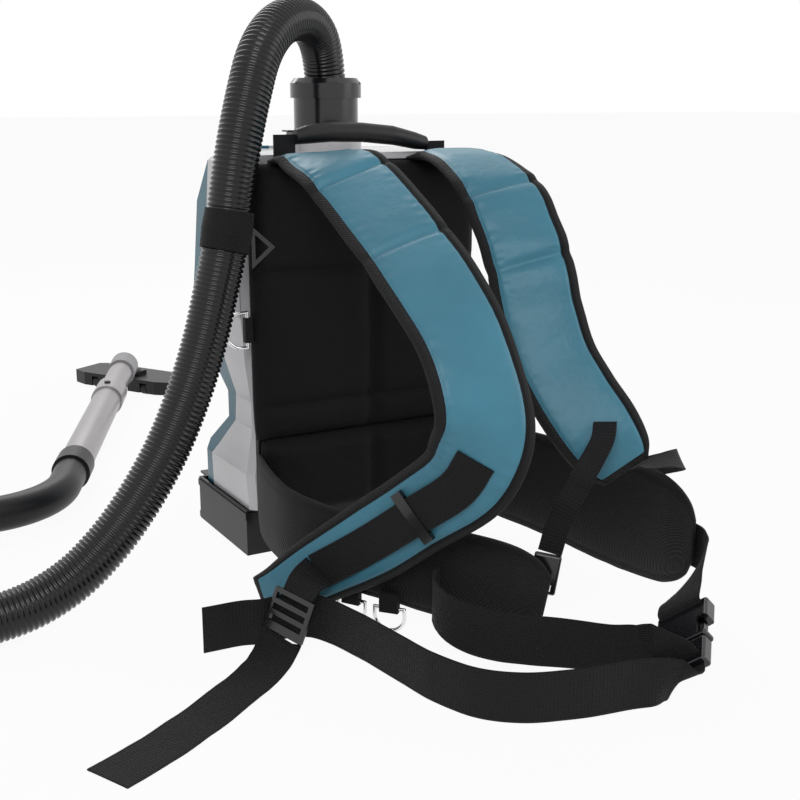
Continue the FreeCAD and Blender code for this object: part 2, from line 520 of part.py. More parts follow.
hinge_pins.append(rod("tab_pin_rod", "Y", "1.2", TAB_PIN, "-11", "11"))
keep(fuse("hinge_pin_set", *hinge_pins), "hinge_pins")
HOSE_END = "(cuff_height - hose_seat)"
cuff_profile = [("inlet_bore", "2.3"), ("cuff_radius", "2.3"),
                ("cuff_radius", "cuff_height - cuff_lip_height"),
                ("cuff_lip_radius", "cuff_height - cuff_lip_height"), ("cuff_lip_radius", "cuff_height - 6"),
                ("cuff_lip_radius - 5", "cuff_height"), ("hose_diameter / 2 + 1", "cuff_height"),
                ("hose_diameter / 2 + 1", HOSE_END), ("hose_bore / 2", HOSE_END),
                ("hose_bore / 2", HOSE_END + " - 12"),
                ("inlet_bore", HOSE_END + " - 20")]
cuff_body = turned("cuff_body", cuff_profile, inlet_place)
cuff_notches = []
for k in range(6):
    notch = block(f"cuff_notch_{k}", ("0", "0", "0"), ("8", "12", "7"))
    turn = 60 * k + 15
    notch.Placement.Rotation = FreeCAD.Rotation(Vector(0, 0, 1), turn)
    bind(notch, {"Placement.Base.x": f"(cuff_lip_radius - 1.5) * cos({turn}) + 6 * sin({turn})",
                 "Placement.Base.y": f"(cuff_lip_radius - 1.5) * sin({turn}) - 6 * cos({turn})",
                 "Placement.Base.z": TOP + " + cuff_height - 7"})
    cuff_notches.append(notch)
keep(cut("cuff_all", cuff_body, *cuff_notches), "hose_cuff")


# Where the wand lies on the floor, and the bent centre line of its hand piece, drawn along X
wand = FreeCAD.Placement(Vector(sizes.wand_x, sizes.wand_y, sizes.wand_z),
                         FreeCAD.Rotation(sizes.wand_yaw, -sizes.wand_pitch, 0))
turn_angle = math.radians(sizes.wand_yaw)
hand_start = Vector(-sizes.hand_straight, 0, 0)


def on_bend(angle):
    return hand_start + Vector(-math.sin(angle), 1 - math.cos(angle), 0) * sizes.hand_bend


leaving = Vector(-math.cos(turn_angle), math.sin(turn_angle), 0)
bend_end = on_bend(turn_angle)
hand_end = bend_end + leaving * sizes.hand_straight
hand_path = Part.Wire([Part.LineSegment(Vector(0, 0, 0), hand_start).toShape(),
                       Part.Arc(hand_start, on_bend(turn_angle / 2), bend_end).toShape(),
                       Part.LineSegment(bend_end, hand_end).toShape()])


# Hose: ribs and a bore along straight runs joined by tangent arcs
def route_wire(points):
    """Straight runs joined by tangent arcs, as large as the runs allow, with the radii."""
    edges = []
    radii = []
    here = points[0]
    for k in range(1, len(points) - 1):
        corner = points[k]
        back = (points[k - 1] - corner).normalize()
        ahead = (points[k + 1] - corner).normalize()
        half_turn = (math.pi - back.getAngle(ahead)) / 2
        run = min((points[k - 1] - corner).Length, (points[k + 1] - corner).Length)
        reach = 0.45 * run
        radii.append(reach / math.tan(half_turn))
        start, end = corner + back * reach, corner + ahead * reach
        inward = (back + ahead).normalize()
        middle = corner + inward * (radii[-1] / math.cos(half_turn) - radii[-1])
        edges.append(Part.LineSegment(here, start).toShape())
        edges.append(Part.Arc(start, middle, end).toShape())
        here = end
    edges.append(Part.LineSegment(here, points[-1]).toShape())
    return Part.Wire(edges), radii


def stations(wire, distances):
    """Places, directions and steady X axes at the given distances along a wire."""
    ends = []
    total = 0
    for edge in wire.Edges:
        ends.append((total, total + edge.Length, edge))
        total += edge.Length
    found = []
    steady = None
    for distance in distances:
        low, high, edge = next(item for item in ends if distance <= item[1] + 1e-6)
        step = edge.getParameterByLength(min(max(distance - low, 0), edge.Length))
        place, ahead = edge.valueAt(step), edge.tangentAt(step)
        steady = steady or Vector(0, 1, 0)
        steady = (steady - ahead * steady.dot(ahead)).normalize()
        found.append((place, ahead, steady))
    return found


def ring_at(place, ahead, steady, radius):
    side = ahead.cross(steady)
    matrix = FreeCAD.Matrix(steady.x, side.x, ahead.x, place.x, steady.y, side.y, ahead.y, place.y,
                            steady.z, side.z, ahead.z, place.z, 0, 0, 0, 1)
    circle = Part.makeCircle(radius)
    circle.Placement = FreeCAD.Placement(matrix)
    return Part.Wire([circle])


hose_route = [Vector(*point) for point in (
    (0, 0, 518), (0, 0, 579), (-33, -27, 616), (-85, -67, 613), (-126, -98, 580), (-146, -110, 530),
    (-160, -117, 486), (-171, -121, 440), (-178, -123, 400), (-186, -125, 364), (-197, -128, 328),
    (-214, -136, 276), (-238, -146, 222), (-268, -156, 168), (-303, -163, 120), (-339, -168, 80),
    (-384, -175, 46), (-444, -183, 27), (-530, -183, 25.5), (-603, -143, 25), (-645, -70, 25.3),
    (-645, 14, 25), (-603, 87, 25.6))]
hose_route[0].z = top + sizes.cuff_height - sizes.hose_seat
seat_way = wand.Rotation.multVec(leaving)
hose_route += [wand.multVec(hand_end) + seat_way * 76, wand.multVec(hand_end) + seat_way * sizes.fit_gap]
hose_wire, hose_radii = route_wire(hose_route)
hose_length = sum(edge.Length for edge in hose_wire.Edges)
print("hose length", round(hose_length), "radii", [round(radius) for radius in hose_radii])
plain_end = sizes.hose_diameter
rib_count = int((hose_length - 2 * plain_end) / sizes.rib_pitch)
rib_step = (hose_length - 2 * plain_end) / rib_count
crest = sizes.hose_diameter / 2
root = crest - sizes.hose_groove
marks = [(0, crest), (plain_end - 2, crest), (plain_end, root)]
for rib in range(rib_count):
    base = plain_end + rib * rib_step
    marks += [(base + 0.18 * rib_step, root), (base + 0.36 * rib_step, crest),
              (base + 0.64 * rib_step, crest),
              (base + 0.82 * rib_step, root)]
marks += [(hose_length - plain_end, root), (hose_length - plain_end + 2, crest), (hose_length, crest)]
outside_rings = [ring_at(*spot, radius) for spot, (_, radius) in
                 zip(stations(hose_wire, [mark[0] for mark in marks]), marks)]
bore_marks = [0] + [plain_end + rib * rib_step for rib in range(rib_count + 1)] + [hose_length]
bore_rings = [ring_at(*spot, sizes.hose_bore / 2) for spot in stations(hose_wire, bore_marks)]
hose_faces = Part.makeLoft(outside_rings, False, True).Faces + Part.makeLoft(bore_rings, False, True).Faces
for outer, inner in ((outside_rings[0], bore_rings[0]), (outside_rings[-1], bore_rings[-1])):
    hose_faces.append(Part.makeFace([outer, inner], "Part::FaceMakerBullseye"))
hose_shell = Part.makeShell(hose_faces)
hose_shell.sewShape()
hose_shape = Part.makeSolid(Part.Shell(hose_shell.Faces))
if hose_shape.Volume < 0:
    hose_shape.reverse()
print("hose ribs", rib_count, "volume", round(hose_shape.Volume),
      "plain tube", round(math.pi * (crest ** 2 - (sizes.hose_bore / 2) ** 2) * hose_length))
keep(solid("hose_solid", hose_shape), "hose")

# Band round the hose and the triangle ring that hooks it to the harness
band_mark = next(mark for mark in range(150, int(hose_length)) if stations(hose_wire,
                                                                           [mark])[0][0].z < top - 60)
band_spots = stations(hose_wire, [band_mark, band_mark + 46])
band_outer = Part.makeLoft([ring_at(*spot, crest + 3.5) for spot in band_spots], True, True)
band_inner = Part.makeLoft([ring_at(spot[0] + (spot[0] - band_spots[1 - k][0]).normalize() * 2, spot[1],
                                    spot[2], crest + 1)
                            for k, spot in enumerate(band_spots)], True, True)
keep(solid("band_solid", band_outer.cut(band_inner)), "hose_band")

# Harness plate screwed to the casing front, with four countersunk screws
PLATE_TOP = "(" + TOP + " - 7.3)"
plate_back = "(casing_front + fit_gap)"
plate_front = "(" + plate_back + " + plate_thick)"
plate_corners = [("-plate_half_width + plate_corner", "plate_bottom"),
                 ("plate_half_width - plate_corner", "plate_bottom"),
                 ("plate_half_width", "plate_bottom + plate_corner"),
                 ("plate_half_width", PLATE_TOP + " - plate_corner"),
                 ("plate_half_width - plate_corner", PLATE_TOP),
                 ("-plate_half_width + plate_corner", PLATE_TOP),
                 ("-plate_half_width", PLATE_TOP + " - plate_corner"),
                 ("-plate_half_width", "plate_bottom + plate_corner")]
plate_body = padded("plate_body", "XZ_Plane", plate_corners, "plate_thick", plate_back)
plate_sinks = []
screws = []
for k, spot in enumerate(screw_spots):
    plate_sinks.append(rod(f"plate_bore_{k}", "Y", "2.6", spot, f"-{plate_front} - 1", "-casing_front"))
    plate_sinks.append(rod(f"plate_sink_{k}", "Y", "5.2", spot, f"-{plate_front} - 1",
                           f"-{plate_front} + 3.2"))
    screws.append(fuse(f"screw_{k}", rod(f"screw_head_{k}", "Y", "5", spot, f"-{plate_front} + 0.2",
                                         f"-{plate_front} + 3.2"),
                       rod(f"screw_shank_{k}", "Y", "2.5", spot, f"-{plate_front} + 3.2",
                           "-casing_front + 9")))
keep(cut("plate_all", plate_body, *plate_sinks), "harness_plate")
keep(fuse("screw_set", *screws), "plate_screws")

# Back pad and lumbar pad: flat behind, crowned in front, with sewn channels
pad_back = -(sizes.casing_front + 2 * sizes.fit_gap + sizes.plate_thick)
plate_top = top - 7.3


def pad_ring(level, half, thick, channel, edge):
    """A level outline of two lobes with a sewn channel between them."""
    back = pad_back
    seam = back - edge
    bottom = back - thick + channel
    valley = half * 0.05

    def lobe(outer, inner):
        middle = Vector((outer + inner) / 2, back - thick, level)
        return Part.Arc(Vector(outer, seam, level), middle, Vector(inner, bottom, level)).toShape()

    left, right = lobe(-half, -valley), lobe(half, valley)
    corners = [Vector(half, seam, level), Vector(half, back, level), Vector(-half, back, level),
               Vector(-half, seam, level)]
    edges = [left, Part.LineSegment(Vector(-valley, bottom, level), Vector(valley, bottom, level)).toShape(),
             right]
    edges += [Part.LineSegment(a, b).toShape() for a, b in zip(corners[:-1], corners[1:])]
    return Part.Wire(Part.__sortEdges__(edges))


def pad_solid(bottom, height, half, thick, seams):
    """A pad lofted upward through outlines that pinch in at its ends and at its cross seams."""
    rings = []
    count = 18
    for k in range(count + 1):
        share = k / count
        end = min(share, 1 - share) * height
        swell = min(1, 0.45 + end / 26)
        for seam in seams:
            swell = min(swell, 0.5 + abs(share - seam) * height / 28)
        pinch = 6 * max(0, 1 - end / 30) ** 2
        rings.append(pad_ring(bottom + share * height, half - pinch, thick * swell,
                              min(sizes.pad_channel, thick * swell * 0.4), thick * swell * 0.36))
    return Part.makeLoft(rings, True, True)


pad_height = plate_top - 2 - sizes.pad_bottom
keep(solid("back_pad_solid", pad_solid(sizes.pad_bottom, pad_height, sizes.pad_half_width, sizes.pad_thick,
                                       [0.13])), "back_pad")
keep(solid("lumbar_solid", pad_solid(sizes.lumbar_bottom, sizes.pad_bottom - sizes.lumbar_bottom - 1,
                                     sizes.pad_half_width - 8, sizes.lumbar_thick, [])), "lumbar_pad")

# Straps and wings: cushions with a seam all round, lofted along a route of places and width directions
DRAWN_TOP = 467
DRAWN_FRONT = 88


def fitted(point):
    """A drawn place, stretched with the height of the casing and moved with its front."""
    x, y, z = point
    return Vector(x, y - (sizes.casing_front - DRAWN_FRONT), z * top / DRAWN_TOP)


def route_frames(route):
    """Place, width direction, outward direction and half width at each station of a route."""
    places = [fitted(item[0]) for item in route]
    frames = []
    for k, (_, across, half) in enumerate(route):
        ahead = (places[min(k + 1, len(route) - 1)] - places[max(k - 1, 0)]).normalize()
        across = Vector(*across)
        across = (across - ahead * across.dot(ahead)).normalize()
        frames.append((places[k], across, across.cross(ahead), half))
    return frames


def cushion_ring(place, across, out, half, crown, back):
    """A seam edge at each side, an arched outer face and a flatter inner face."""
    edge = sizes.seam_thick / 2
    low_left, high_left = place - across * half - out * edge, place - across * half + out * edge
    low_right, high_right = place + across * half - out * edge, place + across * half + out * edge
    return Part.Wire([Part.Arc(high_left, place + out * crown, high_right).toShape(),
                      Part.LineSegment(high_right, low_right).toShape(),
                      Part.Arc(low_right, place - out * back, low_left).toShape(),
                      Part.LineSegment(low_left, high_left).toShape()])


def cushion(route, crown, back, tucks=(), thin_ends=2):
    """A padded strap along a route; it is thin at its ends and pinched at its sewn tucks."""
    frames = route_frames(route)
    rings = []
    for k, (place, across, out, half) in enumerate(frames):
        share = min(1, 0.35 + 0.65 * min(k, len(frames) - 1 - k) / thin_ends)
        if k in tucks:
            share = 0.6
        rings.append(cushion_ring(place, across, out, half, max(crown * share, 1.8), max(back * share, 1.8)))
    return Part.makeLoft(rings, True, True)


def ribbon(route, thick):
    """Webbing of even thickness along a route."""
    rings = []
    for place, across, out, half in route_frames(route):
        side, lift = across * half, out * (thick / 2)
        corners = [place - side - lift, place + side - lift, place + side + lift, place - side + lift]
        rings.append(Part.makePolygon(corners + corners[:1]))
    return Part.makeLoft(rings, True, True)


left_route = [
    ((-75, -98.5, 460.4), (-1, 0, 0), 45), ((-75, -122, 462.6), (-1, 0, 0), 45),
    ((-76, -145, 461), (-0.98, 0, -0.17), 45),
    ((-77, -190, 456), (-0.94, 0, -0.34), 46), ((-77, -215, 446), (-0.92, 0, -0.39), 47),
    ((-77, -241, 435), (-0.9, 0, -0.43), 47),
    ((-77, -290, 410), (-0.9, 0, -0.43), 47), ((-77, -315, 397), (-0.9, 0, -0.43), 47),
    ((-77, -340, 383), (-0.9, 0, -0.43), 47),
    ((-77, -386, 354), (-0.9, 0, -0.42), 47), ((-76, -428, 320), (-0.93, 0.03, -0.34), 46),
    ((-76, -458, 280), (-0.96, 0.1, -0.2), 46),
    ((-77, -472, 245), (-0.88, 0.35, 0.04), 46), ((-80, -466, 214), (-0.7, 0.62, 0.12), 46),
    ((-86, -446, 182), (-0.58, 0.76, 0.22), 44),
    ((-105, -404, 146), (-0.52, 0.75, 0.42), 41), ((-131, -352, 102), (-0.46, 0.67, 0.58), 41),
    ((-159, -303, 64), (-0.44, 0.63, 0.64), 36), ((-183, -265, 34), (-0.45, 0.66, 0.6), 29),
    ((-202, -236, 20), (-0.42, 0.62, 0.66), 18)]
right_route = [
    ((100, -98.5, 460.4), (-1, 0, 0), 45), ((100, -122, 463), (-1, 0, 0), 45),
    ((96, -145, 463), (-0.98, 0.15, 0), 45),
    ((88, -190, 458), (-0.94, 0.3, 0), 45), ((82, -235, 444), (-0.88, 0.45, 0), 45),
    ((80, -257, 432), (-0.86, 0.5, 0), 45),
    ((79, -275, 418), (-0.85, 0.53, 0), 45), ((78, -303, 384), (-0.84, 0.54, 0), 45),
    ((78, -313, 366), (-0.84, 0.54, 0), 45),
    ((78, -322, 350), (-0.84, 0.54, 0), 45), ((78, -337, 312), (-0.84, 0.54, 0), 45),
    ((80, -358, 272), (-0.84, 0.54, 0), 45),
    ((86, -388, 235), (-0.84, 0.54, -0.04), 45), ((97, -416, 202), (-0.84, 0.5, -0.16), 44),
    ((110, -432, 176), (-0.82, 0.45, -0.25), 38),
    ((119, -438, 161), (-0.8, 0.42, -0.3), 26)]
left_wing_route = [
    ((-140.1, -98, 80), (0, 0, 1), 48), ((-154, -170, 80), (0, 0, 1), 46), ((-156, -235, 80), (0, 0, 1), 44),
    ((-134, -300, 78), (0, 0, 1), 42), ((-99, -356, 75), (0, 0, 1), 43), ((-60, -402, 70), (0, 0, 1), 47),
    ((-27, -436, 64), (0, 0, 1), 45), ((-8, -454, 61), (0, 0, 1), 36), ((4, -465, 58), (0, 0, 1), 20)]
right_wing_route = [
    ((140.1, -98, 80), (0, 0, 1), 56), ((158, -170, 80), (0, 0, 1), 60), ((172, -260, 80), (0, 0, 1), 62),
    ((180, -340, 80), (0, 0, 1), 64), ((184, -400, 82), (0, 0, 1), 63), ((184, -436, 84), (0, 0, 1), 56),
    ((184, -460, 85), (0, 0, 1), 42), ((184, -472, 85), (0, 0, 1), 22)]
crown, back = sizes.strap_crown, sizes.strap_back
keep(solid("left_strap_solid", cushion(left_route, crown, back, (4, 7))), "left_shoulder_strap")
keep(solid("right_strap_solid", cushion(right_route, crown, back, (5, 8))), "right_shoulder_strap")
keep(solid("left_wing_solid", cushion(left_wing_route, sizes.wing_back, sizes.wing_crown)), "left_waist_wing")
keep(solid("right_wing_solid", cushion(right_wing_route, sizes.wing_crown, sizes.wing_back)),
     "right_waist_wing")


def raised(route, low, high, lift, half, bumps=()):
    """A webbing route that follows the outer face of a strap, a little above its crown."""
    frames = route_frames(route)[low:high + 1]
    return [((place + out * (lift + (4 if k in bumps else 0))), across, half)
            for k, (place, across, out, _) in enumerate(frames)]


def placed_ribbon(stations_list, thick):
    """Webbing along places that are already fitted."""
    rings = []
    for k, (place, across, half) in enumerate(stations_list):
        ahead = (stations_list[min(k + 1, len(stations_list) - 1)][0] - stations_list[max(k - 1,
                                                                                          0)][0]).normalize()
        across = (across - ahead * across.dot(ahead)).normalize()
        side, lift = across * half, across.cross(ahead) * (thick / 2)
        corners = [place - side - lift, place + side - lift, place + side + lift, place - side + lift]
        rings.append(Part.makePolygon(corners + corners[:1]))
    return Part.makeLoft(rings, True, True)


lift = sizes.strap_crown + sizes.fit_gap + sizes.webbing_thick / 2
adjuster_stations = raised(left_route, 13, 17, lift, sizes.adjuster_width / 2, (2,))
lock_web_route = [((-166, -307.6, 63.7), (0.44, -0.63, -0.64), 19),
                  ((-186, -322, 62), (0.35, -0.85, -0.35), 19),
                  ((-202.5, -333, 51.5), (0.3, -0.93, -0.15), 19)]
adjuster_web = placed_ribbon(adjuster_stations, sizes.webbing_thick)
keep(solid("adjuster_solid", adjuster_web.fuse(ribbon(lock_web_route, sizes.webbing_thick))),
     "left_strap_webbing")
half_belt = sizes.belt_width / 2
buckle_slant = (0.427, -0.667, 0.61)
front_belt_route = [(place, (0, 0, 1), half_belt) for place in (
    (-290, -303, 24.5), (-252, -306, 24.5), (-232, -311.6, 24.5), (-212, -311.6, 24.5), (-186, -320, 24.5),
    (-172, -345, 24.5),
    (-163, -385, 24.5), (-156, -425, 24.5), (-145, -493, 24.5), (-128, -540, 24.5), (-95, -570, 24.5),
    (-50, -587, 24.5), (2, -597, 24.5))]
front_belt_route += [((24, -603, 24.3), (0.2, -0.1, 1), half_belt),
                     ((38.5, -606, 23.6), (0.45, -0.35, 0.8), half_belt),
                     ((48.1, -608.7, 22.2), buckle_slant, half_belt),
                     ((53.4, -603.2, 24.25), buckle_slant, half_belt)]
tail_route = [((-223.3, -340, 17.1), (0.3, -0.93, -0.15), half_belt),
              ((-225.5, -340.3, 12.2), (0.3, -0.93, -0.15), half_belt),
              ((-238, -352, 6), (0.4, -0.91, 0), half_belt), ((-262, -374, 2.6), (0.45, -0.9, 0), half_belt),
              ((-320, -415, 1.2), (0.42, -0.9, 0), half_belt),
              ((-380, -452, 1.2), (0.38, -0.92, 0), half_belt),
              ((-438, -480, 1.2), (0.35, -0.94, 0), half_belt)]
back_belt_route = [((-76.2, -395.7, 60), (0, 0, 1), half_belt), ((-96, -415, 59), (0, 0, 1), half_belt),
                   ((-103, -442, 57), (0, 0, 1), half_belt), ((-93, -470, 50), (0, 0.05, 1), half_belt),
                   ((-66, -492, 43), (0, 0.1, 1), half_belt), ((-18, -516, 36), (0, 0.1, 1), half_belt),
                   ((18, -545, 34), (0.15, -0.2, 0.95), half_belt),
                   ((33, -568, 38), (0.3, -0.5, 0.8), half_belt),
                   ((40, -583, 42.3), buckle_slant, half_belt), ((49.4, -592, 39.1), buckle_slant, half_belt),
                   ((54.4, -594.3, 33.3), buckle_slant, half_belt),
                   ((59.6, -596.7, 27), buckle_slant, half_belt)]
right_belt_route = [((194, -400, 78), (0, 0, 1), half_belt), ((193.8, -440, 76), (0, 0, 1), half_belt),
                    ((192.4, -472, 75), (0, 0, 1), half_belt), ((182, -490, 73), (0.05, -0.1, 1), half_belt),
                    ((156, -506, 70), (0.2, -0.3, 0.9), half_belt),
                    ((126, -524, 65), (0.35, -0.55, 0.75), half_belt),
                    ((109, -536, 61.5), buckle_slant, half_belt),
                    ((101.2, -542.6, 57.5), buckle_slant, half_belt),
                    ((101.2, -546.2, 53.2), buckle_slant, half_belt),
                    ((106.2, -548.5, 47.2), buckle_slant, half_belt)]
keep(solid("front_belt_solid", Part.makeCompound([ribbon(front_belt_route, sizes.webbing_thick),
                                                  ribbon(tail_route, sizes.webbing_thick)])),
                                                  "belt_webbing_front")
keep(solid("back_belt_solid", Part.makeCompound([ribbon(back_belt_route, sizes.webbing_thick),
                                                 ribbon(right_belt_route, sizes.webbing_thick)])),
                                                 "belt_webbing_back")


def framed(shape, place, along, across):
    """Move a shape drawn at the origin to a place, with its X along one direction and its Y near another."""
    along = Vector(*along).normalize()
    across = Vector(*across)
    across = (across - along * across.dot(along)).normalize()
    third = along.cross(across)
    matrix = FreeCAD.Matrix(along.x, across.x, third.x, place.x, along.y, across.y, third.y, place.y,
                            along.z, across.z, third.z, place.z, 0, 0, 0, 1)
    moved = shape.copy()
    moved.Placement = FreeCAD.Placement(matrix)
    return moved


def slab(length, width, thick, x=0, y=0, z=0):
    """A box centred on a point."""
    return Part.makeBox(length, width, thick, Vector(x - length / 2, y - width / 2, z - thick / 2))


def slotted_bar(length, width, thick, slots, slot_length):
    """A flat buckle with slots across it, each given by its place and width along X."""
    shape = slab(length, width, thick)
    shape = shape.makeFillet(thick * 0.3, shape.Edges)
    for x, slot in slots:
        shape = shape.cut(slab(slot, slot_length, thick * 2, x))
    return shape


# Flat slider over the adjuster webbing, and the ladder lock that takes the belt's free end
slider_frame = route_frames(left_route)[15]
slider_shape = slab(12, 56, 5.4).cut(slab(14, 41, sizes.webbing_thick + 1.8))
slider_place = slider_frame[0] + slider_frame[2] * (lift + 4)
slider_along = adjuster_stations[3][0] - adjuster_stations[1][0]
slider_solid = framed(slider_shape, slider_place, tuple(slider_along), tuple(slider_frame[1]))
lock_shape = slotted_bar(42, 54, 4.5, [(-13, 6), (-2, 6), (9, 6)], 44)
lock_solid = framed(lock_shape, fitted((-214, -339, 38)), (-0.4, -0.04, -0.92), (0.3, -0.93, -0.15))
keep(solid("strap_buckle_solids", Part.makeCompound([slider_solid, lock_solid])), "left_strap_buckles")

# Sternum webbing and its buckle hanging from the right strap
sternum_route = [((97.5, -427.2, 212.9), (0.75, -0.55, 0.3), 12), ((82, -441, 196), (0.8, -0.55, 0.25), 12),
                 ((50, -451, 165), (0.8, -0.6, 0), 12), ((27, -450, 127), (0.8, -0.6, 0), 12),
                 ((17, -449, 96), (0.8, -0.6, 0), 12)]
keep(solid("sternum_solid", ribbon(sternum_route, 1.6)), "sternum_webbing")
sternum_place = fitted((12.2, -448.5, 75.1))
sternum_shape = slotted_bar(40, 27, 9, [(14, 9)], 16)
keep(solid("sternum_buckle_solid", framed(sternum_shape, sternum_place, (-0.2, 0, -1), (0.8, -0.6, 0))),
     "sternum_buckle")

# Right strap webbing running down outside the waist wing to the foot of the harness plate
right_web_route = [((124, -443.4, 164.1), (-0.7, 0.5, -0.3), 12), ((160, -448, 168), (0, 0.9, 0.3), 12),
                   ((196, -432, 160), (0, 0.6, 0.8), 12),
                   ((214, -380, 138), (0, -0.35, 0.93), 12), ((214, -300, 104), (0, -0.35, 0.93), 12),
                   ((196, -200, 72), (0, -0.3, 0.95), 12), ((158, -106, 58), (0, 0, 1), 12)]
keep(solid("right_web_solid", ribbon(right_web_route, 1.6)), "right_strap_webbing")

# Waist belt buckle: a hollow half on the right and a two-pronged half on the left
buckle_axis = (-0.665, -0.689, -0.289)
buckle_place = fitted((75.6, -580.2, 33.9))
socket_shape = slab(52, 58, 15, -26.3)
socket_shape = socket_shape.makeFillet(3, socket_shape.Edges).cut(slab(40, 46, 9, -19)).cut(slab(3.4, 51, 30,
                                                                                                 -46))
socket_shape = socket_shape.cut(slab(22, 20, 30, -16, 29)).cut(slab(22, 20, 30, -16, -29))
keep(solid("socket_solid", framed(socket_shape, buckle_place, buckle_axis, buckle_slant)),
     "belt_buckle_socket")
prong_shape = slab(32, 56, 13, 16)
prong_shape = prong_shape.makeFillet(3, prong_shape.Edges).cut(slab(3.4, 51, 30, 24))
for side in (-1, 1):
    prong_shape = prong_shape.fuse(slab(24, 6, 6, -9, side * 18)).fuse(slab(9, 7, 6, -15, side * 21))
prong_shape = prong_shape.fuse(slab(30, 8, 6, -10))
keep(solid("prong_solid", framed(prong_shape, buckle_place, buckle_axis, buckle_slant)), "belt_buckle_prongs")

def d_ring(radius, wire, leg):
    """A D of round wire: a bar along X at the origin, two legs and a half circle towards +Y."""
    curve = Part.makeTorus(radius, wire, Vector(0, leg, 0), Vector(0, 0, 1), -180, 180, 180)
    shape = curve.fuse(Part.makeCylinder(wire, 2 * radius, Vector(-radius, 0, 0), Vector(1, 0, 0)))
    for side in (-1, 1):
        shape = shape.fuse(Part.makeCylinder(wire, leg, Vector(side * radius, 0, 0), Vector(0, 1, 0)))
        shape = shape.fuse(Part.makeSphere(wire, Vector(side * radius, 0, 0)))
    return shape


def ring_loop(half, wire, reach):
    """The webbing loop that holds the bar of a ring."""
    shape = Part.makeBox(2 * half, reach + wire + 2, 2 * wire + 3.4, Vector(-half, -reach, -wire - 1.7))
    return shape.cut(Part.makeCylinder(wire + 0.3, 2 * half + 2, Vector(-half - 1, 0, 0), Vector(1, 0, 0)))


def fixed_loop(spot):
    """The sewn loop of a ring, long enough to reach what it is sewn to."""
    _, place, along, out, radius, _, reach = spot
    return framed(ring_loop(radius - 6, wire, reach), Vector(*place), along, out)


wire = sizes.ring_wire
ring_spots = [
    ("side_ring", (-sizes.pad_half_width - 5.6, pad_back - 6, 276 * top / DRAWN_TOP), (0, 0, 1), (-1, 0, 0),
     20, 6, 5.3),
    ("front_ring", tuple(fitted((-133.9, -316.5, 29))), (0.53, -0.848, 0), (0, 0, -1), sizes.ring_radius - 2,
     8, 16),
    ("rear_ring", tuple(fitted((-111.1, -355.6, 29.4))), (0.648, -0.762, 0), (0, 0, -1),
     sizes.ring_radius - 2, 8, 16)]
for name, place, along, out, radius, leg, _ in ring_spots:
    keep(solid(name + "_solid", framed(d_ring(radius, wire, leg), Vector(*place), along, out)), name)
loops = [fixed_loop(spot) for spot in ring_spots]

# Triangle ring that hooks the hose band to the edge of the back pad
hook_corners = [("-13", TOP + " - 122"), ("13", TOP + " - 98"), ("-13", TOP + " - 74")]
hook_inside = [("-9", TOP + " - 112"), ("6", TOP + " - 98"), ("-9", TOP + " - 84")]
hook = padded("hook", "XZ_Plane", hook_corners, "5")
pocketed(hook, "XZ_Plane", hook_inside, "20", "hook_room", "10", False)
hook.Placement = FreeCAD.Placement(Vector(13 - sizes.pad_half_width, pad_back - 13.2, 0),
                                   FreeCAD.Rotation(-18.3, 0, 0))
keep(hook, "hose_hook")

# Carrying handle: an arched grip between two webbing loops that stand on the harness plate
grip_spots = [(-84, 486, 0.75), (-70, 488.5, 0.92), (-40, 491, 1), (0, 490, 1), (40, 486, 1),
              (70, 479.5, 0.9), (84, 476.8, 0.72)]
grip_y = -(sizes.casing_front + sizes.fit_gap + 4)
grip_rings = [ring_at(Vector(x, grip_y, z + top - DRAWN_TOP), Vector(1, 0, 0), Vector(0, 1, 0),
                      sizes.grip_radius * share)
              for x, z, share in grip_spots]
keep(solid("grip_solid", Part.makeLoft(grip_rings, True, True)), "handle_grip")
handle_webs = [block(f"handle_web_{k}", (low, "-casing_front - fit_gap - 5.2", PLATE_TOP),
                     (high, "-casing_front - fit_gap - 2.8", high_end))
               for k, (low, high, high_end) in enumerate((("-110", "-84.3", TOP + " + 22"),
                                                          ("84.3", "110", TOP + " + 12")))]
doc.recompute()
keep(solid("loop_solids", Part.makeCompound(loops + [web.Shape for web in handle_webs])), "sewn_loops")

# Wand on the floor: drawn along X from the hand piece, then laid in place
def laid(item, label):
    item.Placement = wand.multiply(item.Placement)
    return keep(item, label)


def pipe(name, outer, inner, low, high):
    return cut(name, rod(name + "_outside", "X", outer, ("0", "0"), low, high),
               rod(name + "_bore", "X", inner, ("0", "0"), f"({low}) - 1", f"({high}) + 1"))


button_hole = rod("button_hole", "Z", "5.3", ("tube_length - 40", "0"), "0", "tube_radius + 5")
tube = pipe("tube", "tube_radius", "tube_radius - tube_wall", "0", "tube_length")
collar = pipe("tube_collar", "tube_radius + 3", "tube_radius - 0.1", "tube_length - 60", "tube_length")
laid(cut("outer_tube_all", fuse("outer_tube_solid", tube, collar), button_hole), "wand_outer_tube")
laid(pipe("inner_tube_all", "inner_radius", "inner_radius - tube_wall", "inner_start", "inner_end"),
     "wand_inner_tube")
button_parts = [rod("lock_button", "Z", "5", ("tube_length - 40", "0"), "inner_radius + 2.3",
                    "tube_radius + 5"),
                rod("button_crown", "Z", "4.2", ("tube_length - 40", "0"), "tube_radius + 4.6",
                    "tube_radius + 5.6")]
laid(fuse("button_all", *button_parts), "tube_lock_button")

def along_hand(radius):
    return hand_path.makePipeShell([ring_at(Vector(0, 0, 0), Vector(-1, 0, 0), Vector(0, 1, 0), radius)],
                                   True, True)


